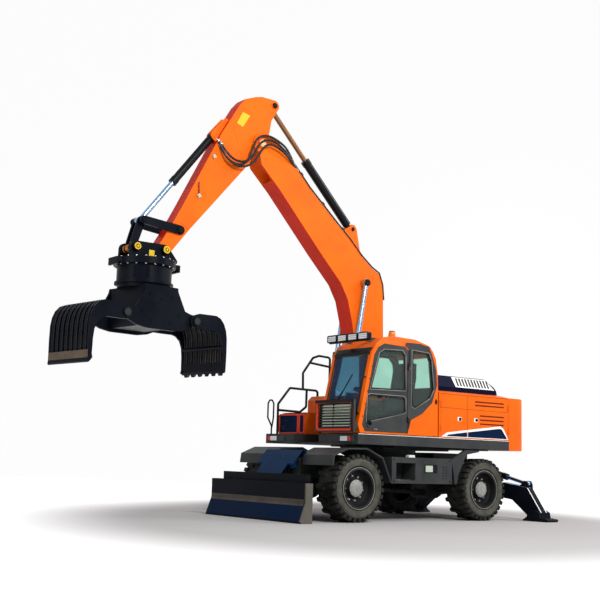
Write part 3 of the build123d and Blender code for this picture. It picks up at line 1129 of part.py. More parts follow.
def main():
    os.makedirs("parts", exist_ok=True)
    put("chassis_frame", chassis() + slew_ring())
    put("front_axle", front_axle())
    put("rear_axle", rear_axle())
    put("drive_shaft", drive_shaft())
    put("side_boxes", *side_boxes())
    put("fenders", *fenders())
    put("front_cover", front_cover())
    put("knuckle_left", knuckle(1))
    put("knuckle_right", knuckle(-1))
    rubber = tyre_body()
    for place, x in (("front", FRONT_AXLE_X), ("rear", REAR_AXLE_X)):
        for hand, side in (("left", 1), ("right", -1)):
            put("tyre_" + place + "_" + hand, tyre(rubber, x, side))
            put("rim_" + place + "_" + hand, rim(x, side))

    put("dozer_blade", blade())
    put("blade_arms", *blade_bars(BLADE_ARM_FOOT, BLADE_ARM_END, 40))
    put("blade_links", *blade_bars(BLADE_LINK_FOOT, BLADE_LINK_END, 40))
    tube = cylinder_tube(455, 42, 26, 44, 60, 24, 9)
    stem = cylinder_rod(span(BLADE_CYL_FOOT, BLADE_CYL_END), 350, 26, 42, 60)
    put("blade_cylinders", *both(lay(tube, BLADE_CYL_FOOT, BLADE_CYL_END, BLADE_CYL_Y)))
    put("blade_rods", *both(lay(stem, BLADE_CYL_FOOT, BLADE_CYL_END, BLADE_CYL_Y)))

    leg = outrigger_leg()
    tube = cylinder_tube(500, 52, 32, 52, 60, 24, 9)
    stem = cylinder_rod(span(LEG_CYL_FOOT, LEG_EYE), 400, 32, 46, 60)
    tube = lay(tube, LEG_CYL_FOOT, LEG_EYE, LEG_X, across=True)
    stem = lay(stem, LEG_CYL_FOOT, LEG_EYE, LEG_X, across=True)
    for hand, side in (("left", 1), ("right", -1)):
        put("outrigger_leg_" + hand, leg if side > 0 else mirror(leg, Plane.XZ))
        put("outrigger_cylinder_" + hand, tube if side > 0 else mirror(tube, Plane.XZ))
        put("outrigger_rod_" + hand, stem if side > 0 else mirror(stem, Plane.XZ))

    put("house_deck", house_deck())
    put("engine_housing", house_shell())
    put("counterweight", counterweight())
    put("engine_lid", engine_lid())
    floor = DECK_TOP + HOUSE_WALL + SEAT_GAP
    put("engine_block", box(-1450, -450, -350, 550, floor, floor + 560))
    put("service_door_front", service_door(DOOR_SEAM_X + POST_T / 2 + PANEL_GAP, DOOR1_FRONT_X - PANEL_GAP,
                                           DOOR1_FRONT_X - 3, -26, []))
    vents = [(-1668, -934, z) for z in (1984, 1924)]
    vents += [(-1668, -1059, z) for z in (1750, 1680, 1612)]
    put("service_door_rear", service_door(DOOR2_REAR_X + PANEL_GAP, DOOR_SEAM_X - POST_T / 2 - PANEL_GAP,
                                          DOOR2_REAR_X + 3, 26, vents))
    right_door = service_door(RIGHT_DOOR_X0 + PANEL_GAP, RIGHT_DOOR_X1 - PANEL_GAP,
                              RIGHT_DOOR_X0 + 3, 26, [])
    put("service_door_right", mirror(right_door, Plane.XZ))
    put("right_boxes", *right_boxes())
    put("handrails", *rails())
    put("lamps", *lamps())
    put("cab_shell", cab_shell())
    put("cab_glass", *cab_glass())
    put("cab_door", cab_door())
    put("cab_door_glass", *cab_door_glass())
    put("cab_guard", cab_guard())
    put("cab_seat", *cab_seat())

    put("boom", boom())
    tube = cylinder_tube(1400, 65, 42, 72, 80, 32, 10)
    stem = cylinder_rod(span(BOOM_CYL_FOOT, BOOM_EYE), 1290, 42, 66, 80)
    sides = (BOOM_Y + BOOM_CYL_SIDE, BOOM_Y - BOOM_CYL_SIDE)
    put("boom_cylinders", *[lay(tube, BOOM_CYL_FOOT, BOOM_EYE, y) for y in sides])
    put("boom_rods", *[lay(stem, BOOM_CYL_FOOT, BOOM_EYE, y) for y in sides])
    put("boom_pipes", *boom_pipes())
    put("arm", arm())
    tube = cylinder_tube(1465, 73, 42, 80, 90, 36, 10)
    stem = cylinder_rod(span(ARM_CYL_FOOT, ARM_TAIL), 1110, 42, 72, 92)
    put("arm_cylinder", lay(tube, ARM_CYL_FOOT, ARM_TAIL, BOOM_Y))
    put("arm_rod", lay(stem, ARM_CYL_FOOT, ARM_TAIL, BOOM_Y))
    tube = cylinder_tube(1120, 62, 40, 66, 80, 30, 10)
    stem = cylinder_rod(span(TILT_CYL_FOOT, LEVER_END), 640, 40, 62, 88)
    put("tilt_cylinder", lay(tube, TILT_CYL_FOOT, LEVER_END, BOOM_Y))
    put("tilt_rod", lay(stem, TILT_CYL_FOOT, LEVER_END, BOOM_Y))
    put("tipping_levers", *levers())
    put("tipping_link", link())
    put("grab_head", head())
    put("grab_frame", grab_frame())
    put("jaw_left", jaw(1))
    put("jaw_right", jaw(-1))

    corners = [solid.bounding_box() for solid in parts.values()]
    low = [min(getattr(c.min, a) for c in corners) for a in "XYZ"]
    high = [max(getattr(c.max, a) for c in corners) for a in "XYZ"]
    print("box", [round(v) for v in low], [round(v) for v in high])


if __name__ == "__main__":
    main()
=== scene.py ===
# %% [markdown]
# A wheeled excavator with a sorting grab, photographed from low down at its front left.
# The imported machine comes in as a fixed frame: every solid is already in its place, in metres.
# The picture is made round it: camera first, then the finishes, then the small fittings that a
# drawing of the structure leaves out.

# %% Bring in the imported machine
import math
import bmesh
import bpy
from mathutils import Matrix, Vector


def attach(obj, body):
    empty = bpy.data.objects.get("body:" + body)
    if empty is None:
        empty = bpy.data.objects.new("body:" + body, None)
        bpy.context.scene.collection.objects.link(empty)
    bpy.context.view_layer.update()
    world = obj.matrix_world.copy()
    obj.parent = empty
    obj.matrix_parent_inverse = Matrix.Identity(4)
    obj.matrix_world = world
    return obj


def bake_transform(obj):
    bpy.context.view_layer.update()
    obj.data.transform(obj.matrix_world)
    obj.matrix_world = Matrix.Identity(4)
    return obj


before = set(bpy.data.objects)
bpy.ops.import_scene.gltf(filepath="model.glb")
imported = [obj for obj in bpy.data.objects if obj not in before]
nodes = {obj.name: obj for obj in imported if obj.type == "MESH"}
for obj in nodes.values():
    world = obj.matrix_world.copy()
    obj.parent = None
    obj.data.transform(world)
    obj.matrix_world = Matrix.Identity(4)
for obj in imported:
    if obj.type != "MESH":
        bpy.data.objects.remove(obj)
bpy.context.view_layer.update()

# %% [markdown]
# The solids were drawn about the slewing axis and then moved along X, so that the part's own
# origin is the middle of its ground rectangle. Places taken from the drawing are moved alike.

# %% Shift from the slewing axis to the part's origin
SLEW_X = -1.887


def at(x, y, z):
    """A place of the drawing, in millimetres from the slewing axis, in the part's frame."""
    return Vector((x / 1000 + SLEW_X, y / 1000, z / 1000))


print("slewing axis at", SLEW_X)

# %% [markdown]
# The photograph looks up a little from about waist height, from the front left. The lens comes
# from the machine's own known lengths: its wheelbase, blade and cab agree with one camera.

# %% Camera at the photograph's place
CAMERA_PLACE = at(12440, 13722, 921.5)


def add_object(name, data):
    """Object of this data, linked to the scene."""
    thing = bpy.data.objects.new(name, data)
    bpy.context.scene.collection.objects.link(thing)
    return thing


camera_data = bpy.data.cameras.new("camera")
camera_data.sensor_width = 36.0
camera_data.lens = 63.24
camera = add_object("camera", camera_data)
yaw, pitch, roll = (math.radians(a) for a in (232.63, 8.65, 1.69))
ahead = Vector((math.cos(yaw) * math.cos(pitch), math.sin(yaw) * math.cos(pitch), math.sin(pitch)))
across = ahead.cross(Vector((0, 0, 1))).normalized()
above = across.cross(ahead)
right = across * math.cos(roll) + above * math.sin(roll)
up = above * math.cos(roll) - across * math.sin(roll)
turn = Matrix((right, up, -ahead)).transposed().to_4x4()
camera.matrix_world = Matrix.Translation(CAMERA_PLACE) @ turn
bpy.context.scene.camera = camera
print("camera at", tuple(round(v, 3) for v in camera.location))

# %% [markdown]
# Paint on a working machine is never one flat colour. Each finish here is a base colour that
# wanders a little between two close tones, a roughness that follows the same dust, and a fine
# bump, all in object space so that it stays on its piece when a joint moves.

# %% Painted finish
def set_inputs(node, values):
    for socket, value in values.items():
        node.inputs[socket].default_value = value


def shader_of(material):
    return material.node_tree.nodes["Principled BSDF"]


def painted(name, colour, dusty, roughness=0.35, scale=1.6, bump=0.004, metallic=0.0, coat=0.04,
            specular=0.22):
    """Finish that wanders from its colour to a dusty tone, with its roughness and a fine bump."""
    material = bpy.data.materials.new(name)
    material.use_nodes = True
    make, link = material.node_tree.nodes.new, material.node_tree.links.new
    shader = shader_of(material)
    place = make("ShaderNodeTexCoord")
    wander = make("ShaderNodeTexNoise")
    set_inputs(wander, {"Scale": scale, "Detail": 6.0, "Roughness": 0.62})
    link(place.outputs["Object"], wander.inputs["Vector"])
    tone = make("ShaderNodeValToRGB")
    for end, position, shade in zip(tone.color_ramp.elements, (0.38, 0.74), (colour, dusty)):
        end.position = position
        end.color = (*shade, 1)
    link(wander.outputs["Fac"], tone.inputs["Fac"])
    link(tone.outputs["Color"], shader.inputs["Base Color"])
    gloss = make("ShaderNodeMapRange")
    set_inputs(gloss, {"To Min": roughness, "To Max": min(1.0, roughness + 0.22)})
    link(wander.outputs["Fac"], gloss.inputs["Value"])
    link(gloss.outputs["Result"], shader.inputs["Roughness"])
    grain = make("ShaderNodeTexNoise")
    set_inputs(grain, {"Scale": 90.0})
    link(place.outputs["Object"], grain.inputs["Vector"])
    relief = make("ShaderNodeBump")
    set_inputs(relief, {"Distance": bump, "Strength": 0.25})
    link(grain.outputs["Fac"], relief.inputs["Height"])
    link(relief.outputs["Normal"], shader.inputs["Normal"])
    set_inputs(shader, {"Metallic": metallic, "Coat Weight": coat, "Coat Roughness": 0.06,
                        "Specular IOR Level": specular})
    return material


orange = painted("orange_paint", (0.74, 0.120, 0.002), (0.64, 0.092, 0.003), 0.34, specular=0.10)
vermilion = painted("red_orange_paint", (0.62, 0.035, 0.005), (0.50, 0.030, 0.006), 0.36)
charcoal = painted("charcoal_paint", (0.024, 0.026, 0.028), (0.048, 0.050, 0.049), 0.46, specular=0.15)
navy = painted("navy_paint", (0.001, 0.010, 0.038), (0.004, 0.012, 0.036), 0.34, coat=0.0, specular=0.03)
blue = painted("cover_blue", (0.002, 0.020, 0.062), (0.004, 0.016, 0.050), 0.36, coat=0.0, specular=0.04)
blade_black = painted("blade_paint", (0.002, 0.003, 0.007), (0.008, 0.009, 0.013), 0.42, coat=0.0,
                      specular=0.06)
# Darker red for the faces turned from the light: painted shade.
shade_red = painted("shaded_orange", (0.56, 0.020, 0.004), (0.44, 0.016, 0.004), 0.36, coat=0.0, specular=0.10)
wall_rubber = painted("side_wall_rubber", (0.085, 0.083, 0.068), (0.036, 0.035, 0.029), 0.85, 7.0, coat=0.0)
dark_lid = painted("lid_paint", (0.0015, 0.0025, 0.018), (0.004, 0.006, 0.022), 0.38, coat=0.0, specular=0.03)
steel_black = painted("grab_paint", (0.0015, 0.0025, 0.006), (0.005, 0.006, 0.010), 0.25, coat=0.0,
                      specular=0.07)
rim_grey = painted("rim_paint", (0.008, 0.009, 0.010), (0.020, 0.020, 0.020), 0.40)
hub_grey = painted("hub_paint", (0.30, 0.30, 0.29), (0.20, 0.20, 0.19), 0.45, 6.0)
black_paint = painted("cylinder_paint", (0.003, 0.004, 0.005), (0.008, 0.009, 0.011), 0.22, specular=0.12)
cast_grey = painted("cast_iron", (0.06, 0.06, 0.06), (0.10, 0.095, 0.09), 0.6)
seat_black = painted("seat_cloth", (0.012, 0.012, 0.014), (0.03, 0.03, 0.032), 0.8, 8.0, coat=0.0)
rubber = painted("tyre_rubber", (0.008, 0.008, 0.0075), (0.026, 0.026, 0.022), 0.62, 5.0, coat=0.0)
hose_black = painted("hose_rubber", (0.006, 0.006, 0.007), (0.014, 0.014, 0.014), 0.30, 9.0, coat=0.2)
yellow = painted("yellow_paint", (0.64, 0.42, 0.012), (0.54, 0.34, 0.012), 0.4)
cream = painted("cream_paint", (0.80, 0.50, 0.24), (0.68, 0.38, 0.16), 0.4)
white = painted("white_panel", (0.80, 0.80, 0.78), (0.66, 0.66, 0.64), 0.45)
# Dark red for the depths of the slots and the door creases: painted shade.
shade_maroon = painted("slot_shadow", (0.16, 0.010, 0.004), (0.11, 0.008, 0.004), 0.6, coat=0.0)
louvre = painted("louvre_paint", (0.40, 0.46, 0.36), (0.52, 0.56, 0.46), 0.4)
worn = painted("worn_steel", (0.12, 0.085, 0.055), (0.07, 0.055, 0.042), 0.45, 4.0, metallic=0.3, coat=0.0)
# Brown for the blade's crease and the rear jaw's slat edges: painted highlight.
umber = painted("brown_highlight_paint", (0.075, 0.058, 0.044), (0.032, 0.030, 0.030), 0.45, 3.0, coat=0.0)
tan = painted("dusty_edge", (0.105, 0.096, 0.080), (0.060, 0.056, 0.048), 0.6, 3.0, coat=0.0)
# Pale blue for the outriggers' tops: a painted sheen of sky.
sky_sheen_blue = painted("sky_sheen_paint", (0.26, 0.42, 0.60), (0.12, 0.22, 0.38), 0.35, 3.0)
rust = painted("pin_bronze", (0.50, 0.20, 0.03), (0.34, 0.12, 0.02), 0.4, 5.0, metallic=0.3)
red_plastic = painted("red_plastic", (0.62, 0.02, 0.012), (0.50, 0.02, 0.012), 0.15, 6.0, bump=0.0008)
bright = painted("bright_steel", (0.55, 0.56, 0.57), (0.36, 0.37, 0.38), 0.3, 4.0, metallic=0.8, coat=0.0)
print("painted finishes made")

# %% [markdown]
# Chromed rods, window glass and lamp glass take the paint's shader with other values: bare metal,
# a thin tinted pane that still lets the seat show, and clear or amber plastic. The blue of the
# chromed rods and the brown of the arm's rod are painted reflections, of sky and of orange paint.

# %% Chrome, glass and lamps
def plain(name, colour, metallic, roughness, transmission=0.0, ior=1.45):
    """Finish without wear, for metal, glass and clear plastic."""
    material = painted(name, colour, tuple(min(1, c * 1.12) for c in colour), roughness, 3.0, 0.00001,
                       metallic, 0.0, 0.5)
    set_inputs(shader_of(material), {"Transmission Weight": transmission, "IOR": ior})
    return material


# The blue of the chromed rods is a painted reflection of sky.
chrome = plain("rod_chrome", (0.36, 0.58, 0.88), 1.0, 0.12)
# The brown of the arm's rod is a painted reflection of the orange paint round it.
dark_rod = plain("dark_rod", (0.22, 0.11, 0.05), 1.0, 0.25)
pane = plain("tinted_glass", (0.74, 0.90, 0.86), 0.0, 0.0, 0.97, 1.12)
# Pale film that glows inside the cab: painted light, the daylight seen through the far windows.
sky_glow_film = plain("sky_glow_window_film", (0.50, 0.68, 0.60), 0.0, 0.2, 0.30, 1.05)
set_inputs(shader_of(sky_glow_film), {"Emission Color": (0.46, 0.66, 0.58, 1), "Emission Strength": 0.55})
screen_film = plain("screen_film", (0.16, 0.26, 0.44), 0.0, 0.05, 0.90, 1.05)
lamp_glass = plain("lamp_glass", (0.80, 0.82, 0.84), 0.0, 0.08, 0.2)
amber = plain("amber_plastic", (0.95, 0.22, 0.01), 0.0, 0.15, 0.3)
print("chrome and glass made")

# %% [markdown]
# Each solid of the frame takes the finish of the real piece. Edges of plates are never sharp
# to the eye, so the painted pieces get a narrow bevel that catches the light.

# %% Finish and soft edge for each carried-over piece
def soften(piece, width):
    """Narrow bevel, its width in millimetres, along the piece's sharp edges."""
    edge = piece.modifiers.new("soft_edge", "BEVEL")
    edge.width = width / 1000
    edge.segments = 1
    edge.limit_method = "ANGLE"
    edge.angle_limit = math.radians(35)


def both(name):
    return [name + "_left", name + "_right"]


finish_of = {
    orange: ["boom", "arm", "engine_housing", "service_door_front", "service_door_rear",
             "service_door_right", "cab_shell", "right_boxes", "counterweight"],
    dark_lid: ["engine_lid"],
    charcoal: ["chassis_frame", "front_axle", "rear_axle", "drive_shaft", "side_boxes",
               "fenders", "house_deck", "cab_guard", "cab_door", "lamps", *both("knuckle")],
    blue: ["front_cover"],
    blade_black: ["dozer_blade", *both("outrigger_leg")],
    navy: ["blade_arms", "blade_links"],
    steel_black: ["grab_head", "grab_frame", "tipping_levers", "tipping_link", *both("jaw")],
    rubber: [name for name in nodes if name.startswith("tyre_")],
    rim_grey: [name for name in nodes if name.startswith("rim_")],
    chrome: ["blade_rods", "boom_rods", "tilt_rod", *both("outrigger_rod")],
    dark_rod: ["arm_rod"],
    black_paint: ["handrails", "blade_cylinders", "boom_cylinders", "arm_cylinder", "tilt_cylinder",
                  *both("outrigger_cylinder")],
    pane: ["cab_glass", "cab_door_glass"],
    cast_grey: ["engine_block"],
    seat_black: ["cab_seat"],
    hose_black: ["boom_pipes"],
}
unbevelled = {"cab_glass", "cab_door_glass", "engine_block"}
for material, names in finish_of.items():
    for name in names:
        for place in nodes[name].material_slots:
            place.link = "OBJECT"
            place.material = material
        if name not in unbevelled:
            soften(nodes[name], 4.0)
print("finished", sum(len(names) for names in finish_of.values()))

# %% [markdown]
# Everything smaller than a structural solid is drawn here. One kind of helper gathers blocks,
# plates and bars in one mesh, in the drawing's own millimetres, and sets it on a moving body.

# %% A small workshop for fittings
def full_circle(count):
    return [2 * math.pi * k / count for k in range(count)]


def pairs(points, ring):
    """Each point with the next one, and the last with the first in a ring."""
    return zip(points, points[1:] + points[:1] if ring else points[1:])


class Shape:
    """Gathers simple solids in one mesh, with places in the drawing's millimetres."""

    def __init__(self):
        self.mesh = bmesh.new()

    def walls(self, rings, wrap=False):
        """Faces through rings of places in metres, closed at both ends or round to the first."""
        rows = [[self.mesh.verts.new(point) for point in ring] for ring in rings]
        for near, far in pairs(rows, wrap):
            for (a, b), (d, c) in zip(pairs(near, True), pairs(far, True)):
                self.mesh.faces.new((a, b, c, d))
        if not wrap:
            self.mesh.faces.new(list(reversed(rows[0])))
            self.mesh.faces.new(rows[-1])
        return self

    def skin(self, rings, wrap=False):
        """Solid through rings with equal numbers of points."""
        return self.walls([[at(*point) for point in ring] for ring in rings], wrap)

    def block(self, low, high):
        (x0, y0, z0), (x1, y1, z1) = low, high
        floor_ring = [(x0, y0, z0), (x1, y0, z0), (x1, y1, z0), (x0, y1, z0)]
        return self.skin([floor_ring, [(x, y, z1) for x, y, _ in floor_ring]])

    def plate(self, outline, y0, y1):
        """Plate with an x-z outline, from y0 to y1."""
        return self.skin([[(x, y, z) for x, z in outline] for y in (y0, y1)])

    def sheet(self, outline, x0, x1):
        """Plate with a y-z outline, from x0 to x1."""
        return self.skin([[(x, y, z) for y, z in outline] for x in (x0, x1)])

    def on_side(self, outline, low, high):
        """Plate on the left side of cab and housing, from low to high off it."""
        return self.plate(outline, DECK_HALF_W + low, DECK_HALF_W + high)

    def stud(self, x, z, radius, low, high, sides):
        """Round stud on that side."""
        return self.bar((x, DECK_HALF_W + low, z), (x, DECK_HALF_W + high, z), radius, sides)

    def bar(self, start, end, radius, sides=12, end_radius=None):
        """Round or many-sided bar between two places."""
        start, end = Vector(start), Vector(end)
        side = (end - start).normalized().orthogonal().normalized()
        other = (end - start).normalized().cross(side)
        return self.skin([[place + size * (math.cos(a) * side + math.sin(a) * other)
                           for a in full_circle(sides)]
                          for place, size in ((start, radius), (end, end_radius or radius))])

    def trace(self, places, radius, sides, ring=True):
        """Bars along a line of places."""
        for start, end in pairs(places, ring):
            self.bar(start, end, radius, sides)
        return self

    def bolts(self, centre, axis, circle, count, size, height):
        """Ring of hexagon heads on washers round an axis."""
        axis = Vector(axis).normalized()
        side = axis.orthogonal().normalized()
        other = axis.cross(side)
        for a in full_circle(count):
            foot = Vector(centre) + circle * (math.cos(a) * side + math.sin(a) * other)
            self.bar(foot - axis * 2, foot + axis * 3, size * 1.25, 10)
            self.bar(foot, foot + axis * height, size, 6)
        return self

    def bolt(self, place, axis, size, height):
        """One hexagon head with its washer."""
        return self.bolts(place, axis, 0.01, 1, size, height)

    def pipe(self, points, radius, sides=10):
        """Tube that follows a smooth line near the points; returns the line, in metres."""
        line = smooth_line(points)
        rings = []
        side = (line[1] - line[0]).orthogonal().normalized()
        for k, place in enumerate(line):
            ahead = (line[min(k + 1, len(line) - 1)] - line[max(k - 1, 0)]).normalized()
            side = (side - ahead * side.dot(ahead)).normalized()
            other = ahead.cross(side)
            rings.append([place + radius / 1000 * (math.cos(a) * side + math.sin(a) * other)
                          for a in full_circle(sides)])
        self.walls(rings)
        return line

    def border(self, outer, inner, x0, x1):
        """Frame between two y-z outlines with equal numbers of points, from x0 to x1."""
        return self.skin([[(x, *p) for p in line] for line, x in
                          ((outer, x0), (outer, x1), (inner, x1), (inner, x0))], True)

    def turned(self, profile, x, side, reach, count=64):
        """Ring about a wheel's axle from a closed outline of radius and place beyond a reach."""
        return self.skin([[(x + r * math.cos(a), side * (reach + y), AXLE_Z + r * math.sin(a))
                           for a in full_circle(count)] for r, y in profile], True)

    def set_on(self, name, material, body, edge=0.0, smooth=False):
        """Turn what was gathered into one named piece that rides on a body."""
        bmesh.ops.recalc_face_normals(self.mesh, faces=self.mesh.faces)
        data = bpy.data.meshes.new(name)
        self.mesh.to_mesh(data)
        self.mesh.free()
        piece = add_object(name, data)
        data.materials.append(material)
        if smooth:
            data.shade_smooth()
        if edge:
            soften(piece, edge)
        if body:
            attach(piece, body)
        return piece


def smooth_line(points):
    """Points along a smooth curve near the route, read from Blender's own spline."""
    data = bpy.data.curves.new("route", "CURVE")
    data.dimensions = "3D"
    spline = data.splines.new("NURBS")
    spline.points.add(len(points) - 1)
    for knot, place in zip(spline.points, points):
        knot.co = (*at(*place), 1)
    spline.order_u = 3
    spline.use_endpoint_u = True
    spline.resolution_u = 6
    holder = add_object("route", data)
    line = bpy.data.meshes.new_from_object(holder)
    places = [v.co.copy() for v in line.vertices]
    bpy.data.objects.remove(holder)
    return places


def cut_panel(name, material, outline, holes, y, depth):
    """Flat x-z panel of the cab with openings, drawn as a filled curve and turned into a mesh."""
    data = bpy.data.curves.new(name, "CURVE")
    data.dimensions = "2D"
    data.fill_mode = "BOTH"
    data.extrude = depth / 2000
    for ring in [outline] + holes:
        spline = data.splines.new("POLY")
        spline.points.add(len(ring) - 1)
        for knot, (x, z) in zip(spline.points, ring):
            place = at(x, 0, z)
            knot.co = (place.x, place.z, 0, 1)
        spline.use_cyclic_u = True
    holder = add_object(name + "_drawing", data)
    mesh = bpy.data.meshes.new_from_object(holder)
    bpy.data.objects.remove(holder)
    mesh.transform(Matrix.Translation((0, y / 1000, 0)) @ Matrix.Rotation(math.pi / 2, 4, "X"))
    mesh.name = name
    mesh.materials.clear()
    mesh.materials.append(material)
    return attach(add_object(name, mesh), "house")


print("workshop ready")

# %% [markdown]
# Measures of the structure that several fittings share, as the part's source has them.

# %% Shared measures
HANDS = (("left", 1), ("right", -1))
AXLE_Z = 521
FRONT_AXLE_X, REAR_AXLE_X = 1650, -1150
TYRE_OUT_Y = 1245
DECK_HALF_W, DECK_TOP = 1220, 1363
BOOM_Y, BOOM_W, ARM_W = -80, 340, 260
BOOM_NOSE, BOOM_EYE = (2904, 6015), (670, 3979)
ARM_CYL_FOOT, ARM_TAIL, ARM_TIP = (846, 4924), (2648, 6721), (4625, 3984)
LEVER_FOOT = (4352, 4343)
GRAB_X, GRAB_TURN = 4850, math.radians(7)
JAW_U, JAW_Z = 630, 2930


def rounded(a0, a1, b0, b1, radius):
    """Outline of a rectangle with round corners, 28 points."""
    points = []
    for a, b, start in ((a1 - radius, b1 - radius, 0), (a0 + radius, b1 - radius, 90),
                        (a0 + radius, b0 + radius, 180), (a1 - radius, b0 + radius, 270)):
        for k in range(7):
            turn = math.radians(start + 15 * k)
            points.append((a + radius * math.cos(turn), b + radius * math.sin(turn)))
    return points


def oval(x, z, half_x, half_z, count):
    return [(x + half_x * math.cos(a), z + half_z * math.sin(a)) for a in full_circle(count)]


def beside(start, end, near, far):
    """Corners of a strip along a line of the x-z plane, from near to far beside it."""
    (x0, z0), (x1, z1) = start, end
    run = math.hypot(x1 - x0, z1 - z0)
    nx, nz = -(z1 - z0) / run, (x1 - x0) / run
    return [(x0 + nx * near, z0 + nz * near), (x1 + nx * near, z1 + nz * near),
            (x1 + nx * far, z1 + nz * far), (x0 + nx * far, z0 + nz * far)]


def in_grab(u, v, z):
    """A place of the grab, along and across its jaws, in the drawing."""
    c, s = math.cos(GRAB_TURN), math.sin(GRAB_TURN)
    return GRAB_X + u * c - v * s, BOOM_Y + u * s + v * c, z


print("shared measures set")

# %% [markdown]
# The cab's left side is a dark frame with the door and a quarter window in it. The orange shell
# shows only as the roof, the front post and the rear corner. Dark linings and pale films inside
# give the panes what the photograph shows behind them; the pale films glow as painted light, the
# daylight seen through the far windows. Pale lines round the windows are painted highlights on the seals.

# %% Dark side frame and trims of the cab
side_frame = [(640, 1385), (600, 1500), (560, 1621), (316, 1730), (90, 1922), (-21, 2226), (6, 2474),
              (102, 2716), (173, 2843), (380, 2875), (606, 2871), (690, 2868), (690, 2830), (640, 2770),
              (640, 1385)]
quarter = [(537, 2740), (180, 2720), (120, 2600), (70, 2138), (150, 2000), (475, 1820), (537, 1860)]
door_panes = [[(1434, 2083), (1258, 2640), (1160, 2700), (782, 2715), (712, 2640), (702, 2097)],
              [(1500, 1561), (1489, 1950), (1440, 1975), (740, 1975), (699, 1940), (695, 1740), (760, 1711)]]
cut_panel("cab_side_frame", charcoal, side_frame, [quarter], DECK_HALF_W + 1, 5)
Shape().trace([(x, DECK_HALF_W + 3, z) for x, z in quarter], 9, 8).set_on(
    "quarter_window_seal", rubber, "house", smooth=True)
seal = Shape()
for outline in door_panes:
    seal.trace([(x, DECK_HALF_W + 1, z) for x, z in outline], 9, 8)
seal.set_on("door_window_seals", rubber, "cab_door_body", smooth=True)
CAB_IN_Y = 255
lining_side = [(1560, 1420), (1588, 1500), (1345, 2600), (1262, 2740), (1140, 2820), (850, 2880),
               (410, 2862), (175, 2780), (86, 2615), (44, 2400), (34, 2150), (34, 1420)]
right_pane = [(1434, 1900), (1258, 2640), (1160, 2700), (240, 2700), (150, 2600), (80, 2200), (80, 1900)]
door_gap = [(1548, 1440), (1588, 1500), (1362, 2600), (1276, 2725), (1150, 2790), (700, 2780), (655, 2730),
            (655, 1440)]
cut_panel("cab_lining_right", seat_black, lining_side, [right_pane], CAB_IN_Y + 52, 6)
cut_panel("cab_lining_left", seat_black, lining_side, [quarter, door_gap], DECK_HALF_W - 66, 6)
ceiling = [(1250, 320, 2700), (1250, 1140, 2700), (160, 1140, 2740), (160, 320, 2740)]
cabin = Shape().skin([[(x, y, z + d) for x, y, z in ceiling] for d in (0, 6)])
cabin.block((40, 320, 1420), (46, 1150, 2170))
cabin.block((60, 320, 1412), (1560, 1150, 1418))
cabin.block((1440, 420, 1420), (1500, 1080, 1560))
cabin.set_on("cab_lining", seat_black, "house")
cabin = Shape()
rear_wall = [(8, 2145), (20, 2395), (63, 2640), (165, 2812)]
for (x0, z0), (x1, z1) in pairs(rear_wall, False):
    for low, high in ((310, 375), (1100, 1150)):
        cabin.plate([(x0, z0), (x1, z1), (x1 + 5, z1), (x0 + 5, z0)], low, high)
cabin.set_on("cab_rear_lining", seat_black, "house")
# Glowing pale films behind the far windows: painted light, the daylight seen through them.
films = Shape().plate([(12, 2182), (24, 2398), (74, 2690), (78, 2690), (28, 2398), (16, 2182)], 378, 1097)
for outline in ([(1418, 2060), (1250, 2626), (1158, 2688), (920, 2694), (905, 2060)],
                [(640, 2060), (640, 2690), (250, 2690), (164, 2595), (120, 2300), (112, 2060)]):
    films.plate(outline, CAB_IN_Y + 60, CAB_IN_Y + 63)
films.set_on("cab_window_sky_glow", sky_glow_film, "house")
HINGE_X, HINGE_Y = 637, DECK_HALF_W + 6
for name, body, spans in (("cab_door_hinge_sleeves", "house", ((-48, -17), (17, 48))),
                          ("cab_door_barrel_sleeves", "cab_door_body", ((-15, 15),))):
    hinges = Shape()
    for z in (1620, 2480):
        for low, high in spans:
            hinges.bar((HINGE_X, HINGE_Y, z + low), (HINGE_X, HINGE_Y, z + high), 18, 16)
    hinges.set_on(name, black_paint, body, smooth=True)
marks = Shape().on_side(oval(1245, 1962, 62, 26, 24), -1, 10)
marks.stud(1461, 1530, 54, -2, 10, 24).stud(1461, 1530, 34, 8, 14, 20)
marks.set_on("door_lock_and_cap", black_paint, "cab_door_body", 1.5)
Shape().stud(1300, 1440, 10, -1, 4, 10).stud(1340, 1440, 10, -1, 4, 10).set_on(
    "door_foot_studs", bright, "cab_door_body")
pillar = Shape()
for low, high in ((2490, 2752), (1491, 1656)):
    pillar.block((598, DECK_HALF_W + 3, low), (620, DECK_HALF_W + 10, high))
pillar.set_on("door_post_grips", black_paint, "house", 4.0)
# Pale lines round the quarter and door windows: painted highlights, light catching the seals.
for name, body, outline, width in (("quarter_window_seal_highlight", "house", quarter, 20),
                                   ("door_window_seal_highlight_0", "cab_door_body", door_panes[0], 20),
                                   ("door_window_seal_highlight_1", "cab_door_body", door_panes[1], 18)):
    xs, zs = zip(*outline)
    cx, cz = (min(xs) + max(xs)) / 2, (min(zs) + max(zs)) / 2
    grow_x, grow_z = 1 + width / (max(xs) - cx), 1 + width / (max(zs) - cz)
    wider = [(cx + (x - cx) * grow_x, DECK_HALF_W + 2, cz + (z - cz) * grow_z) for x, z in outline]
    Shape().trace(wider, 5, 6).set_on(name, hub_grey, body, smooth=True)
PAINT = 1.6
reveal = Shape()
for start, end in [((640, 2740), (640, 1400)), *pairs(quarter, True)]:
    reveal.on_side(beside(start, end, 0, PAINT), -45, 1)
reveal.set_on("cab_opening_reveals", black_paint, "house")
post = Shape()
screen_foot, screen_top = (1687, 1492), (1427, 2660)
for k in range(5):
    x, z = (a + (b - a) * (0.12 + 0.17 * k) for a, b in zip(screen_foot, screen_top))
    post.bolt((x - 60, DECK_HALF_W, z), (0, 1, 0), 8, 7)
post.set_on("front_post_bolts", black_paint, "house")
print("cab side dressed")

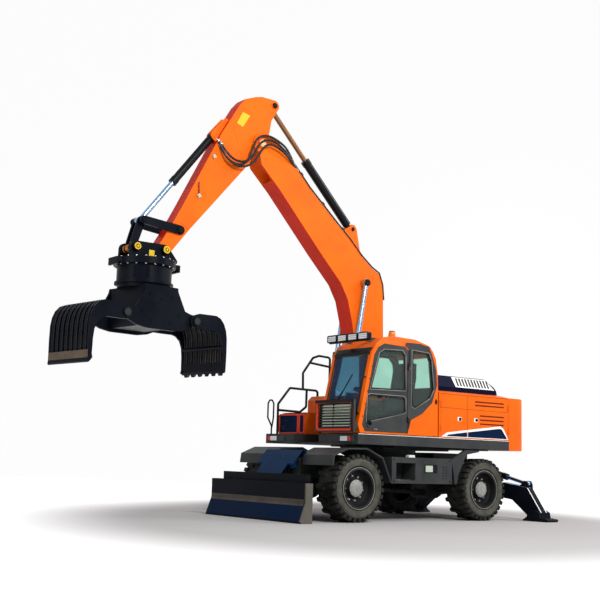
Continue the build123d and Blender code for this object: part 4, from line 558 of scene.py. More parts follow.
# %% [markdown]
# Wiper and its motor on the sloped windscreen, the seal round the screen, and the grab rail on
# the front post that a driver pulls on when climbing in.

# %% Windscreen fittings
lean = Vector((screen_top[0] - screen_foot[0], 0, screen_top[1] - screen_foot[1])).normalized()
out = Vector((lean.z, 0, -lean.x))


def on_screen(y, up_along, off):
    """A place on the windscreen's plane: across, up along it, and off its face."""
    foot = Vector((screen_foot[0], y, screen_foot[1]))
    return foot + lean * up_along + out * off


def screen_corners(y0, y1, low, high, off):
    """Corners of a rectangle on the windscreen's plane."""
    return [on_screen(y, up_along, off) for y, up_along in ((y0, low), (y1, low), (y1, high), (y0, high))]


Shape().skin([screen_corners(345, 1129, 50, 1144, off) for off in (-16, -12)]).set_on(
    "windscreen_tint", screen_film, "house")
wiper = Shape()
for start, end, radius, sides, tip in (
        ((430, 60, 2), (430, 60, 34), 30, 16, 30), ((430, 60, 26), (700, 560, 24), 8, 8, 5),
        ((560, 300, 16), (860, 840, 16), 5, 6, 5), ((560, 300, 8), (860, 840, 8), 8, 4, 8),
        ((700, 560, 24), (710, 570, 8), 6, 8, 6)):
    wiper.bar(on_screen(*start), on_screen(*end), radius, sides, tip)
wiper.set_on("windscreen_wiper", black_paint, "house", 1.0)
brow = Shape().plate([(1429, 2662), (1374, 2741), (1371, 2739), (1426, 2660)], 300, 1178)
brow.skin([screen_corners(300, 1178, 1150, 1198, off) for off in (-1, 3)])
brow.set_on("windscreen_top_frame", black_paint, "house", 1.0)
Shape().trace(screen_corners(337, 1137, 42, 1152, 3), 11, 8).set_on(
    "windscreen_seal", rubber, "house", smooth=True)
rail = Shape()
rail.pipe([on_screen(*place) for place in ((1180, 180, 0), (1200, 190, 60), (1200, 260, 74),
                                           (1200, 700, 74), (1200, 770, 60), (1180, 780, 0))], 12)
rail.set_on("front_post_rail", black_paint, "house", smooth=True)
print("windscreen dressed")

# %% [markdown]
# Light bar: a dark housing round each clear lamp, with two thin bars across it. The lamps on the
# deck's front edge have a clear part and a red part. The beacon is an amber dome.

# %% Lamps
glasses, bezels = Shape(), Shape()
LAMP_LOW, LAMP_STEP, LAMP_W = 212, 258, 238
for k in range(4):
    y = LAMP_LOW + k * LAMP_STEP
    glass = rounded(y + 14, y + 224, 2868, 2954, 16)
    glasses.sheet(glass, 1520, 1528)
    bezels.border(rounded(y, y + LAMP_W, 2850, 2972, 26), rounded(y + 16, y + 222, 2866, 2956, 16),
                  1446, 1533)
    bezels.sheet(glass, 1450, 1500)
    for z in (2896, 2926):
        bezels.block((1526, y + 18, z - 2), (1531, y + 220, z + 2))
bezels.block((1452, LAMP_LOW, 2838), (1490, LAMP_LOW + 3 * LAMP_STEP + LAMP_W, 2852))
glasses.set_on("roof_lamp_glasses", lamp_glass, "house", 1.0)
bezels.set_on("roof_lamp_housings", black_paint, "house", 1.0)
clear, red = Shape(), Shape()
for side in (-1, 1):
    for shape, y0, y1 in ((clear, 850, 1018), (red, 1040, 1094)):
        low, high = sorted((side * y0, side * y1))
        shape.block((1728, low, 1246), (1737, high, 1320))
clear.set_on("deck_lamp_clear", lamp_glass, "house", 2.0)
red.set_on("deck_lamp_red", red_plastic, "house", 2.0)
levels = [(3032, 54), (3040, 62), (3110, 60), (3138, 50), (3150, 28)]
Shape().skin([[(330 + r * math.cos(a), 480 + r * math.sin(a), z) for a in full_circle(24)]
              for z, r in levels]).set_on("beacon_dome", amber, "house", smooth=True)
print("lamps dressed")

# %% [markdown]
# Engine side: painted shade deep in the slots, the latches, painted shadow lines along the creases,
# the blank two-colour flash along the lower edge, and the thin white line on the deck's top edge.

# %% House side
# Dark red set deep inside the slots: painted shade.
slots = Shape()
for x, heights in ((-940, (1984, 1924)), (-1065, (1750, 1680, 1612))):
    for z in heights:
        slots.block((-1662, DECK_HALF_W - 14, z + 2), (x, DECK_HALF_W - 11, z + 24))
slots.set_on("side_slot_painted_shade", shade_maroon, "door_rear")
for name, material, body, lift, outline in (
        ("front_door_flash_edge", white, "door_front", 0.8,
         [(-130, 1380), (-264, 1453), (-750, 1511), (-750, 1380)]),
        ("front_door_flash", navy, "door_front", 1.6,
         [(-250, 1392), (-300, 1420), (-744, 1473), (-744, 1392)]),
        ("rear_door_flash_edge", white, "door_rear", 0.8,
         [(-758, 1380), (-758, 1512), (-1565, 1607), (-1655, 1568), (-1776, 1380)]),
        ("rear_door_flash", navy, "door_rear", 1.6,
         [(-764, 1392), (-764, 1474), (-1562, 1566), (-1612, 1549), (-1748, 1392)])):
    Shape().on_side(outline, -1, lift).set_on(name, material, body)
LATCH_Z = 1686
for name, x, body in (("latch_front", -560, "door_front"), ("latch_rear", -962, "door_rear")):
    Shape().on_side([(x + u, LATCH_Z + v) for u, v in rounded(-46, 46, -34, 34, 14)], -1, 3).set_on(
        name + "_plate", white, body, 1.0)
    latch = Shape().on_side([(x + u, LATCH_Z + v) for u, v in rounded(-38, 18, -26, 26, 10)], 2, 6)
    latch.stud(x - 10, LATCH_Z, 14, 4, 12, 16).set_on(name, black_paint, body, 1.0)
# Thin dark red lines along the door creases: painted shadow.
for hand, outline in (("front", [(-96, 1866), (-96, 1861), (-745, 1857), (-745, 1862)]),
                      ("rear", [(-758, 1862), (-758, 1857), (-1776, 1850), (-1776, 1855)])):
    Shape().on_side(outline, -1, 1).set_on(hand + "_door_crease_shadow", shade_maroon, "door_" + hand)
Shape().on_side(oval(-2, 1944, 26, 44, 28), -1, 6).on_side(oval(-2, 1944, 14, 30, 28), 4, 9).set_on(
    "cab_corner_cap", black_paint, "house", 1.5)
Shape().block((-1790, DECK_HALF_W - 1, DECK_TOP - 9), (1672, DECK_HALF_W + 2, DECK_TOP - 1)).set_on(
    "deck_edge_line", white, "house")
print("house side dressed")

# %% [markdown]
# The tool box on the right has two dark rounded fronts framed by a red edge, with a handle. The
# guard before the cab has pale louvres in a red rim.

# %% Tool box front and guard louvres
BOX_FRONT = 1421
border, panel = Shape(), Shape()
for y0, y1 in ((-1198, -640), (-628, -462)):
    border.border(rounded(y0, y1, 1368, 1712, 44), rounded(y0 + 32, y1 - 32, 1396, 1680, 30),
                  BOX_FRONT - 3, BOX_FRONT + 16)
    panel.sheet(rounded(y0 + 31, y1 - 31, 1395, 1681, 30), BOX_FRONT - 2, BOX_FRONT + 7)
border.block((BOX_FRONT - 6, -642, 1366), (BOX_FRONT + 3, -626, 1700))
border.set_on("tool_box_border", vermilion, "house", 3.0)
panel.set_on("tool_box_front", navy, "house", 2.0)
Shape().block((1040, -1160, 1724), (1385, -500, 1732)).set_on("tool_box_top", navy, "house", 2.0)
box_latch = Shape().sheet(rounded(-1130, -1020, 1440, 1510, 12), BOX_FRONT + 5, BOX_FRONT + 12)
box_latch.pipe([(BOX_FRONT + 6, -1010, 1590), (BOX_FRONT + 38, -1005, 1590), (BOX_FRONT + 38, -845, 1590),
                (BOX_FRONT + 6, -840, 1590)], 8)
box_latch.set_on("tool_box_latch", black_paint, "house", 1.0)
Shape().border(rounded(286, 1188, 1404, 1872, 60), rounded(318, 1156, 1436, 1840, 42), 1742, 1784).set_on(
    "guard_inner_rim", vermilion, "house", 3.0)
backing = Shape().sheet(rounded(320, 1154, 1438, 1838, 40), 1737, 1740)
backing.block((1760, 700, 1440), (1772, 716, 1836))
backing.block((1780, 262, 1842), (1788, 1212, 1892))
backing.block((1780, 1160, 1384), (1786, 1192, 1892))
backing.set_on("guard_backing", black_paint, "house")
slats = Shape()
for k in range(8):
    z = 1472 + k * 44
    for y0, y1 in ((440, 698), (718, 1130)):
        slats.plate([(1742, z + 34), (1776, z + 6), (1776, z), (1742, z + 26)], y0, y1)
slats.set_on("guard_louvres", louvre, "house")
print("tool box and guard dressed")

# %% [markdown]
# The dark underside that shows in the gap between the deck and the carrier: a plate below the
# deck and a low cover on top of the frame behind the slewing ring, near black as painted shade.

# %% Underside
Shape().block((-1700, -820, 1178), (560, 820, 1199)).block((-980, -560, 1148), (560, 560, 1180)).set_on(
    "deck_under_plate", black_paint, "house", 3.0)
Shape().block((-1620, -400, 982), (-760, 400, 1122)).set_on("frame_top_cover", black_paint, "chassis", 6.0)
print("underside dressed")

# %% [markdown]
# The engine lid has a pale panel with dark slots on its sloped left side.

# %% Lid panels
LID_FOOT, LID_SHOULDER = Vector((0, 950, 2240)), Vector((0, 820, 2440))
LID_OUT = Vector((0, 200, 130)).normalized()


def on_lid(corners, low, high):
    """Rings on the lid's left slope: corners (x, t), with t from its foot (0) to its shoulder (1)."""
    return [[Vector((x, 0, 0)) + LID_FOOT.lerp(LID_SHOULDER, t) + LID_OUT * off for x, t in corners]
            for off in (low, high)]


holes = Shape()
for k in range(11):
    x = -800 - 76 * k
    holes.skin(on_lid([(x, 0.14), (x - 42, 0.14), (x - 66, 0.84), (x - 24, 0.84)], 2, 6))
Shape().skin(on_lid([(-745, 0.03), (-1722, 0.03), (-1592, 0.93), (-745, 0.93)], -2, 4)).set_on(
    "lid_slotted_panel", white, "lid", 1.0)
holes.set_on("lid_panel_slots", black_paint, "lid")
print("lid dressed")

# %% [markdown]
# The elbow's hoses are the machine's only free ones: they leave the pipes on the boom, swing round
# the elbow between boom and arm and end on the arm's side by the tilt cylinder.

# %% Hoses at the elbow
HOSE_D = 36
outer_route = [(2250, 69, 5850), (2330, 95, 5940), (2440, 118, 6040), (2600, 128, 6110), (2790, 130, 6160),
               (2938, 130, 6130), (3040, 130, 6050), (3110, 128, 5860), (3170, 126, 5680), (3310, 122, 5560),
               (3480, 118, 5570), (3610, 112, 5650), (3690, 96, 5790), (3740, 70, 5905)]
inner_route = [(2210, 69, 5790), (2300, 100, 5870), (2430, 125, 5960), (2600, 140, 6050), (2760, 145, 6090),
               (2890, 145, 6060), (2980, 145, 5990), (3050, 142, 5850), (3120, 140, 5720), (3260, 135, 5625),
               (3400, 130, 5610), (3530, 124, 5660), (3620, 104, 5760), (3690, 70, 5870)]
lower_route = [(2150, 69, 5720), (2270, 105, 5790), (2400, 150, 5870), (2560, 165, 5960), (2720, 168, 6010),
               (2850, 166, 5990), (2940, 162, 5900), (3000, 158, 5780), (3090, 152, 5650), (3240, 144, 5540),
               (3430, 138, 5530), (3580, 128, 5610), (3660, 100, 5720), (3700, 70, 5820)]


for name, route in (("elbow_hose_outer", outer_route), ("elbow_hose_inner", inner_route),
                    ("elbow_hose_lower", lower_route)):
    hose = Shape()
    line = hose.pipe(route, HOSE_D / 2, 12)
    hose = hose.set_on(name, hose_black, None, smooth=True)
    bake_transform(hose)
fittings, ends = Shape(), Shape()
for route in (outer_route, inner_route, lower_route):
    first, second = Vector(route[0]), Vector(route[1])
    fittings.bar(first - (second - first) * 0.2, first + (second - first) * 0.35, 19, 6)
    last, before = Vector(route[-1]), Vector(route[-2])
    ends.bar(last - (last - before) * 0.3, last, 19, 6)
    ends.bar(last, (last.x + 14, 52, last.z + 14), 14, 10)
fittings.set_on("boom_hose_fittings", bright, "boom_body")
ends.set_on("arm_hose_fittings", bright, "arm_body")
print("elbow hoses run")

# %% [markdown]
# Bolted caps on both ends of each pin, the blank yellow sticker, weld seams, painted shade in a
# darker red on the faces turned from the light, and the two stop valves with a pipe on the arm.

# %% Boom and arm fittings
def pin_caps(name, pins, half, body, material):
    """Round cap, ring and six bolts on both ends of each pin: (x, z), cap radius."""
    caps = Shape()
    for (x, z), radius in pins:
        for side in (-1, 1):
            face = BOOM_Y + side * half
            caps.bar((x, face, z), (x, face + side * 8, z), radius, 24)
            caps.bar((x, face + side * 7, z), (x, face + side * 13, z), radius * 0.72, 24)
            caps.bolts((x, face + side * 8, z), (0, side, 0), radius * 0.85, 6, radius * 0.09, 7)
    caps.set_on(name, material, body, 1.0)


def discs(shape, place, half, low, high, radius, sides):
    """Round disc on both faces about the boom's middle, from low to high off each face."""
    for side in (-1, 1):
        face = BOOM_Y + side * half
        shape.bar((place[0], face + side * low, place[1]), (place[0], face + side * high, place[1]),
                  radius, sides)
    return shape


pin_caps("boom_nose_caps", [(BOOM_NOSE, 62)], 190, "boom_body", cream)
discs(Shape(), BOOM_NOSE, 187, 0, 5, 78, 28).set_on("boom_nose_rings", vermilion, "boom_body", 1.0)
pin_caps("lever_foot_caps", [(LEVER_FOOT, 56)], 178.5, "arm_body", black_paint)
discs(Shape(), LEVER_FOOT, 178, -12, 1, 54, 28).set_on("lever_foot_rims", black_paint, "arm_body")
pin_caps("boom_eye_caps", [(BOOM_EYE, 60)], 296, "boom_body", black_paint)
pin_caps("arm_foot_caps", [(ARM_CYL_FOOT, 34)], 82, "boom_body", black_paint)
pin_caps("arm_tail_caps", [(ARM_TAIL, 50)], 142, "arm_body", black_paint)
Shape().plate([(3273, 6475), (3133, 6439), (3262, 6225), (3381, 6266)], 49.5, 51.0).set_on(
    "arm_blank_sticker", yellow, "arm_body")
weld = Shape()
boom_back = [(182, 3041), (198, 3745), (228, 4008), (303, 4190), (467, 4268), (704, 4440), (984, 4700),
             (1327, 4975), (1886, 5440), (2281, 5830)]
for side in (-1, 1):
    y = BOOM_Y + side * BOOM_W / 2
    weld.trace([(x + 6, y, z - 8) for x, z in boom_back], 5, 6, False)
weld.set_on("boom_weld_seams", orange, "boom_body", smooth=True)


def painted_shade_strip(shape, points, half):
    """Thin layer of darker red along an outline: painted shade on the faces turned from the light."""
    for start, end in pairs(points, False):
        shape.plate(beside(start, end, -PAINT, PAINT), BOOM_Y - half, BOOM_Y + half)
    return shape


# Darker red strips on the boom's belly and the arm's front: painted shade.
belly = Shape()
for low, high in ((-168, -142), (142, 168)):
    belly.plate([(2643, 5429), (2890, 5658), (2891, 5661), (2642, 5432)], BOOM_Y + low, BOOM_Y + high)
painted_shade_strip(belly, [(2640, 5428), (2510, 5307), (2078, 4856), (1636, 4394), (1162, 3926), (1000, 3657),
                    (905, 3318), (847, 3048)], BOOM_W / 2 - 3)
belly.set_on("boom_belly_painted_shade", shade_red, "boom_body")
painted_shade_strip(Shape(), [(3225, 6706), (3337, 6578), (3659, 6038), (4314, 4748), (4523, 4354), (4711, 4044)],
            ARM_W / 2 - 3).set_on("arm_front_painted_shade", shade_red, "arm_body")
valves = Shape()
for x, z in ((3793, 5620), (4042, 4940)):
    valves.bar((x, 50, z), (x, 84, z), 22, 12)
    valves.bar((x - 34, 72, z - 8), (x + 34, 72, z + 8), 12, 8)
    valves.bar((x, 72, z - 34), (x, 72, z + 34), 12, 8)
    valves.bar((x, 84, z), (x, 96, z), 10, 8)
valves.set_on("arm_stop_valves", louvre, "arm_body", 1.0)
pipe = Shape()
pipe.pipe([(4042, 66, 4960), (4046, 66, 5060), (4052, 60, 5137), (4040, 50, 5160)], 8)
pipe.set_on("arm_valve_pipe", black_paint, "arm_body", smooth=True)
Shape().bar((3448, 50, 6168), (3351, 50, 5934), 5, 6).bar((4339, 50, 4467), (4198, 50, 4385), 5, 6).set_on(
    "arm_weld_seams", orange, "arm_body")
print("boom and arm dressed")

# %% [markdown]
# Grab: yellow caps on the head's pins, two rings of flange bolts, the drum's two raised doors,
# rings with bolts on the jaws' pins, and the turning frame's bolts.

# %% Grab fittings
HEAD_FACE = ARM_W / 2 + 10 + 45 + 60
HEAD_PINS = ARM_TIP, (5116, 3972)
pin_caps("head_pin_caps", list(zip(HEAD_PINS, (58, 54))), HEAD_FACE, "head", yellow)
for name, lift, radius, sides, material in (("head_pin_dark_rings", 12, 31, 20, black_paint),
                                            ("head_pin_centres", 14, 19, 16, yellow)):
    ring = Shape()
    for pin in HEAD_PINS:
        discs(ring, pin, HEAD_FACE + lift, 0, 3, radius, sides)
    ring.set_on(name, material, "head")
sleeve = Shape()
x, z = HEAD_PINS[1]
for low, high in ((-123, -83), (-47, 47), (83, 123)):
    sleeve.bar((x, BOOM_Y + low, z), (x, BOOM_Y + high, z), 60, 24)
sleeve.set_on("link_pin_sleeves", rust, "link", 1.0)
square = Shape()
for side in (-1, 1):
    face = BOOM_Y + side * (HEAD_FACE - 60)
    low, high = sorted((face - side, face + side * 2))
    square.plate([(4800, 3865), (4890, 3865), (4890, 3955), (4800, 3955)], low, high)
square.set_on("head_blank_squares", yellow, "head")
Shape().bolts((GRAB_X, BOOM_Y, 3812), (0, 0, 1), 438, 20, 13, 14).bolts(
    (GRAB_X, BOOM_Y, 3711), (0, 0, -1), 438, 20, 13, 14).set_on("head_flange_bolts", bright, "head")
door = Shape()
for turn in (55, 235):
    a = math.radians(turn)
    door.skin([[(GRAB_X + reach * math.cos(a + spread), BOOM_Y + reach * math.sin(a + spread), z)
                for spread, z in ((-0.28, 3500), (0.28, 3500), (0.28, 3670), (-0.28, 3670))]
               for reach in (408, 422)])
    for spread in (-0.23, 0.23):
        for z in (3520, 3650):
            spot = Vector((math.cos(a + spread), math.sin(a + spread), 0))
            foot = Vector((GRAB_X, BOOM_Y, z)) + spot * 418
            door.bar(foot, foot + spot * 10, 9, 6)
door.set_on("head_drum_doors", steel_black, "head", 2.0)


def grab_axis(u, v, z, du, dv):
    """A place of the grab and the way of a step of one millimetre from it."""
    place = Vector(in_grab(u, v, z))
    return place, Vector(in_grab(u + du, v + dv, z)) - place


rings = Shape()
for u in (-JAW_U, JAW_U):
    for side in (-1, 1):
        centre, way = grab_axis(u, side * 532, JAW_Z, 0, side)
        rings.bar(centre, centre + way * 7, 52, 24)
        rings.bolts(centre, way, 60, 8, 7, 9)
rings.set_on("jaw_pin_rings", rim_grey, "grab", 1.0)
plates = Shape()
for side in (-1, 1):
    for u, z in ((-330, 2990), (330, 2990), (-180, 2860), (180, 2860), (0, 3200), (-200, 3250), (200, 3250)):
        centre, way = grab_axis(u, side * 470, z, 0, side)
        plates.bar(centre - way, centre + way * 9, 17, 6)
        plates.bar(centre - way, centre + way * 3, 24, 14)
plates.set_on("grab_frame_bolts", steel_black, "grab")
print("grab dressed")

# %% [markdown]
# The front jaw's bolted wear edge, painted highlights along the edges of both jaws' slats, and
# the worn faces of the rear jaw's teeth.

# %% Jaw edges and ribs
SLAT_PITCH, JAW_HALF, TEETH = 119, 476, 6
wear = Shape()
for k in range(9):
    centre, way = grab_axis(JAW_U + 606, -448 + 112 * k, JAW_Z - 640, 1, 0)
    way = way.normalized()
    wear.bar(centre - way * 3, centre + way * 4, 20, 12)
    wear.bar(centre - way * 3, centre + way * 6, 13, 6)
wear.set_on("front_jaw_edge_bolts", worn, "jaw_left_body")
wear_edge = [(604, -590), (611, -590), (611, -700), (604, -700)]
Shape().skin([[in_grab(JAW_U + u, v, JAW_Z + z) for u, z in wear_edge] for v in (-505, 505)]).set_on(
    "front_jaw_wear_edge", worn, "jaw_left_body", 1.5)
BAND_OUT = [(380, 130), (470, 95), (540, 20), (585, -80), (606, -200), (610, -420), (607, -560)]
BAND_IN = [(370, 72), (430, 52), (488, -8), (528, -100), (546, -210), (550, -420), (548, -560)]
# Strips along the slats' edges are painted highlights: grey on the front jaw's outer edges, brown on the rear
# jaw's inner edges.
for hand, way, line, tone in (("left", 1, BAND_OUT, rim_grey), ("right", -1, BAND_IN, umber)):
    edges = Shape()
    for k in range(8):
        v = -JAW_HALF + SLAT_PITCH * (k + 0.5)
        for off in (-29, 29):
            edges.trace([in_grab(way * (JAW_U + u), v + off, JAW_Z + z) for u, z in line], 4, 5, False)
    edges.set_on(hand + "_jaw_rib_highlights", tone, "jaw_" + hand + "_body")
teeth = Shape()
tooth = [(-560, -700), (-613, -690), (-612, -735), (-592, -763)]
for k in range(TEETH):
    v = -JAW_HALF + 2 * JAW_HALF * (k + 0.5) / TEETH
    teeth.skin([[in_grab(-JAW_U + u, v + w, JAW_Z + z) for u, z in tooth] for w in (-38, 38)])
teeth.set_on("rear_jaw_tooth_faces", worn, "jaw_right_body", 1.5)
print("jaw edges dressed")

# %% [markdown]
# Wheels: nuts round a pale hub cap, the rim's lip, the valve, the tyre's side wall with two thin
# beads, and the tread's shoulder blocks. One loop makes all four, each on its own body.

# %% Wheel fittings
LUG_PHASE, LUGS = 6.6, 30
SHORT_LUG = [(442, -8), (448, 3), (500, -8), (504, -20), (478, -34)]
LONG_LUG = [(442, -8), (448, 3), (500, -6), (514, -18), (512, -110), (480, -110), (474, -34)]
HUB_REACH = TYRE_OUT_Y - 190
for place, x in (("front", FRONT_AXLE_X), ("rear", REAR_AXLE_X)):
    for hand, side in HANDS:
        body = "wheel_" + place + "_" + hand
        axis = (0, side, 0)
        Shape().bolts((x, side * (TYRE_OUT_Y - 168), AXLE_Z), axis, 190, 10, 15, 30).set_on(
            body + "_nuts", bright, body)
        cap = Shape().turned([(20, 100), (131, 100), (131, 112), (91, 131), (60, 137), (20, 137)],
                             x, side, HUB_REACH, 40)
        cap.bolts((x, side * (HUB_REACH + 122), AXLE_Z), axis, 110, 10, 9, 10)
        cap.bolts((x, side * (HUB_REACH + 136), AXLE_Z), axis, 44, 6, 7, 7)
        cap.bar((x, side * (HUB_REACH + 130), AXLE_Z), (x, side * (HUB_REACH + 142), AXLE_Z), 26, 20)
        cap.set_on(body + "_hub_cap", hub_grey, body, 1.0)
        Shape().turned([(314, -9), (314, -5), (321, -5), (321, -9)], x, side, TYRE_OUT_Y).set_on(
            body + "_rim_lip", hub_grey, body)
        wall = Shape().turned([(342, -9.5), (352, -6.5), (396, -2.5), (440, 1.5), (466, -19), (460, -20),
                               (440, -4), (352, -12)], x, side, TYRE_OUT_Y)
        for radius, lift in ((362, -5), (424, 1)):
            wall.turned([(radius - 5, lift - 3), (radius, lift + 4), (radius + 5, lift - 3)],
                        x, side, TYRE_OUT_Y)
        wall.set_on(body + "_side_wall", wall_rubber, body, smooth=True)
        ribs = Shape()
        for k in range(LUGS):
            turn = math.radians(360 / LUGS * k + LUG_PHASE)
            out_way = Vector((-math.sin(turn), 0, -math.cos(turn)))
            along_way = Vector((math.cos(turn), 0, -math.sin(turn)))
            ribs.skin([[Vector((x, side * (TYRE_OUT_Y + y), AXLE_Z)) + out_way * r + along_way * slide
                        for r, y in (SHORT_LUG if k % 2 else LONG_LUG)] for slide in (0, 58)])
        ribs.set_on(body + "_shoulder_blocks", rubber, body)
        Shape().bar((x + 262, side * (TYRE_OUT_Y - 60), AXLE_Z), (x + 262, side * (TYRE_OUT_Y - 18), AXLE_Z),
                    6, 8).set_on(body + "_valve", bright, body)
print("wheels dressed")

# %% [markdown]
# Undercarriage: blank plates and rows of round holes on the side boxes, the tread on the step, a
# pale filler box, and the bolts of the axle's mount and of the slewing ring.

# %% Undercarriage fittings
BOX_Y = 1200
for hand, side in HANDS:
    face = side * BOX_Y
    Shape().plate(rounded(-66, 226, 776, 914, 10), face - side, face + side * 2.5).set_on(
        "box_plate_frame_" + hand, black_paint, "chassis", 1.0)
    Shape().plate(rounded(40, 200, 796, 896, 6), face + side * 2, face + side * 4).set_on(
        "box_blank_plate_" + hand, louvre, "chassis")
    dots = Shape()
    for k in range(5):
        for x in (-205, -272):
            dots.bar((x, face - side, 690 + 46 * k), (x, face + side * 2, 690 + 46 * k), 13, 14)
    for x in (-360, 900):
        for z in (640, 985):
            dots.bolt((x, face, z), (0, side, 0), 11, 9)
    dots.set_on("box_holes_and_bolts_" + hand, black_paint, "chassis")
    Shape().block((256, min(face, face + side * 1.5), 640), (260, max(face, face + side * 1.5), 985)).set_on(
        "box_door_seam_" + hand, black_paint, "chassis")
    tread = Shape()
    for row in range(4):
        for k in range(6):
            x, y = 450 + 62 * k + 30 * (row % 2), side * (930 + 65 * row)
            tread.bar((x, y, 654), (x + 26, y + 12, 660), 5, 6)
    tread.set_on("step_tread_" + hand, bright, "chassis")
Shape().block((360, 1040, 984), (500, 1120, 1060)).set_on("side_box_filler", white, "chassis", 6.0)
for name, x, z, circle, count, size, height, material in (
        ("front_axle_mount_bolts", 1650, 980, 180, 8, 14, 16, black_paint),
        ("slew_ring_bolts", 0, 1010, 470, 24, 11, 14, bright)):
    Shape().bolts((x, 0, z), (0, 0, 1), circle, count, size, height).set_on(name, material, "chassis")
print("undercarriage dressed")

# %% [markdown]
# The blade's painted highlight along its crease, blue toe, pale end edge and lifting eye, and the
# outriggers' painted highlights: a pale blue sheen on their tops and white strips along their legs.

# %% Blade and outrigger fittings
FACE_X, CREASE_Z, TOE_X, BLADE_TOP, BLADE_HALF = 2719, 290, 2815, 591, 1275
slope = (TOE_X - FACE_X) / (CREASE_Z - 30)
# Brown band along the blade's crease: painted highlight.
Shape().plate([(FACE_X + 1.5, CREASE_Z + 62), (FACE_X + 1.5, CREASE_Z),
               (FACE_X + 1.5 + slope * 34, CREASE_Z - 34), (FACE_X - 2 + slope * 34, CREASE_Z - 34),
               (FACE_X - 2, CREASE_Z), (FACE_X - 2, CREASE_Z + 62)],
              -BLADE_HALF + 14, BLADE_HALF - 46).set_on("blade_crease_highlight", umber, "blade")
Shape().plate([(FACE_X + 1.5 + slope * 36, CREASE_Z - 36), (TOE_X + 1, 31), (TOE_X - 3, 31),
               (FACE_X - 2 + slope * 36, CREASE_Z - 36)],
              -BLADE_HALF + 4, BLADE_HALF - 26).set_on("blade_toe_paint", navy, "blade")
end = Shape().plate([(2589, 4), (TOE_X - 22, 4), (TOE_X - 3, 32), (FACE_X - 2, CREASE_Z),
                     (FACE_X - 2, BLADE_TOP - 3), (2589, BLADE_TOP - 3)], BLADE_HALF - 1, BLADE_HALF + 1.5)
end.plate([(FACE_X + 1.5, BLADE_TOP - 3), (FACE_X + 1.5, CREASE_Z), (TOE_X + 1.5, 30), (TOE_X - 3, 30),
           (FACE_X - 3, CREASE_Z), (FACE_X - 3, BLADE_TOP - 3)], BLADE_HALF - 24, BLADE_HALF + 1)
end.set_on("blade_end_edge", tan, "blade")
eye = Shape()
eye.pipe([(2632, 1170, 600), (2632, 1172, 660), (2632, 1195, 690), (2632, 1222, 660), (2632, 1224, 600)], 9)
eye.set_on("blade_lifting_eye", black_paint, "blade", smooth=True)
LEG_LOW, LEG_HIGH = -2305, -2135
for hand, side in HANDS:
    top, edges, feet = Shape(), Shape(), Shape()
    for (y0, z0), (y1, z1) in (((770, 639), (1150, 590)), ((1150, 590), (1325, 561))):
        top.sheet([(side * y0, z0 + 3), (side * y1, z1 + 3), (side * y1, z1 - 2), (side * y0, z0 - 2)],
                  LEG_LOW + 12, LEG_HIGH - 12)
    for x in (LEG_LOW + 4, LEG_HIGH - 26):
        edges.sheet([(side * 1334, 560), (side * 1636, 150), (side * 1630, 146), (side * 1328, 556)],
                    x, x + 22)
    for x in (-2330, -2110):
        for y in (1330, 1730):
            feet.bolt((x, side * y, 52), (0, 0, 1), 13, 12)
    # The pale blue tops are a painted sheen of sky; the white strips on the legs' outer slopes are painted
    # highlights.
    top.set_on("outrigger_top_sheen_" + hand, sky_sheen_blue, "outrigger_" + hand)
    edges.set_on("outrigger_edge_highlights_" + hand, white, "outrigger_" + hand)
    feet.set_on("outrigger_foot_bolts_" + hand, black_paint, "outrigger_" + hand)
print("blade and outriggers dressed")

# %% [markdown]
# The studio: a wide pale floor, a white backdrop, a soft key from the machine's left, a fill from
# its front and a light from its rear, so that the dark grab and blade keep their edges. The floor
# glows less in an oval round the machine, a painted shadow under it.

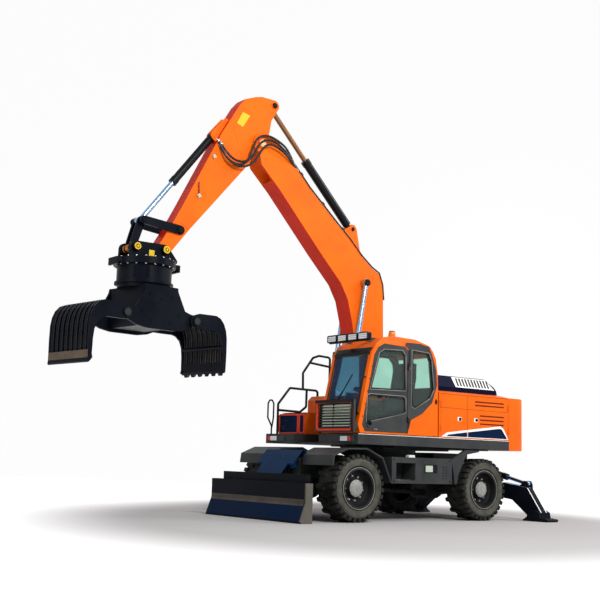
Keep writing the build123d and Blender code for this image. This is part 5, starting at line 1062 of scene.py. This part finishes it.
# %% Floor and lights
floor_mesh = bpy.data.meshes.new("studio_floor")
floor_mesh.from_pydata([(-60, -60, 0), (60, -60, 0), (60, 60, 0), (-60, 60, 0)], [], [(0, 1, 2, 3)])
floor = add_object("studio_floor", floor_mesh)
card = painted("studio_white", (0.40, 0.39, 0.39), (0.42, 0.41, 0.41), 0.9, 0.2, coat=0.0, specular=0.0)
make, link = card.node_tree.nodes.new, card.node_tree.links.new
reach = make("ShaderNodeTexGradient")
reach.gradient_type = "SPHERICAL"
spread = make("ShaderNodeMapping")
spread.vector_type = "TEXTURE"
set_inputs(spread, {"Location": (-1.1, 0.8, 0), "Rotation": (0, 0, 0.914), "Scale": (9.5, 6.6, 1)})
spot = make("ShaderNodeTexCoord")
# The floor glows less in an oval round the machine: a painted shadow under it.
shadow_fade = make("ShaderNodeValToRGB")
shadow_fade.color_ramp.interpolation = "EASE"
for end, position, light in zip(shadow_fade.color_ramp.elements, (0.0, 0.44), (0.85, 0.0)):
    end.position = position
    end.color = (light, light, light, 1)
link(spot.outputs["Object"], spread.inputs["Vector"])
link(spread.outputs["Vector"], reach.inputs["Vector"])
link(reach.outputs["Fac"], shadow_fade.inputs["Fac"])
link(shadow_fade.outputs["Color"], shader_of(card).inputs["Emission Color"])
set_inputs(shader_of(card), {"Emission Strength": 1.0})
floor.data.materials.append(card)
data = bpy.data.meshes.new("studio_backdrop")
data.from_pydata([(-40, 10, -2), (10, -40, -2), (10, -40, 30), (-40, 10, 30)], [], [(0, 1, 2, 3)])
backdrop = add_object("studio_backdrop", data)
paper = bpy.data.materials.new("studio_paper")
paper.use_nodes = True
set_inputs(shader_of(paper), {"Emission Color": (1, 1, 1, 1), "Emission Strength": 0.95,
                              "Base Color": (0, 0, 0, 1)})
backdrop.data.materials.append(paper)


def soft_light(name, place, aim, size, watts):
    data = bpy.data.lights.new(name, "AREA")
    data.shape = "DISK"
    data.size = size
    data.energy = watts
    lamp = add_object(name, data)
    lamp.location = place
    lamp.rotation_euler = (Vector(aim) - Vector(place)).to_track_quat("-Z", "Y").to_euler()


soft_light("key", (2, 14, 11), (0, 0, 2.5), 4, 2300)
soft_light("fill", (15, 2, 6), (0, 0, 2.5), 5, 260)
soft_light("rim", (-10, 6, 10), (0, 0, 2.5), 4, 700)
world = bpy.data.worlds.new("studio_air")
world.use_nodes = True
set_inputs(world.node_tree.nodes["Background"], {"Color": (1, 1, 1, 1), "Strength": 0.50})
bpy.context.scene.world = world
bpy.context.scene.view_settings.view_transform = "Standard"
print("studio lit")
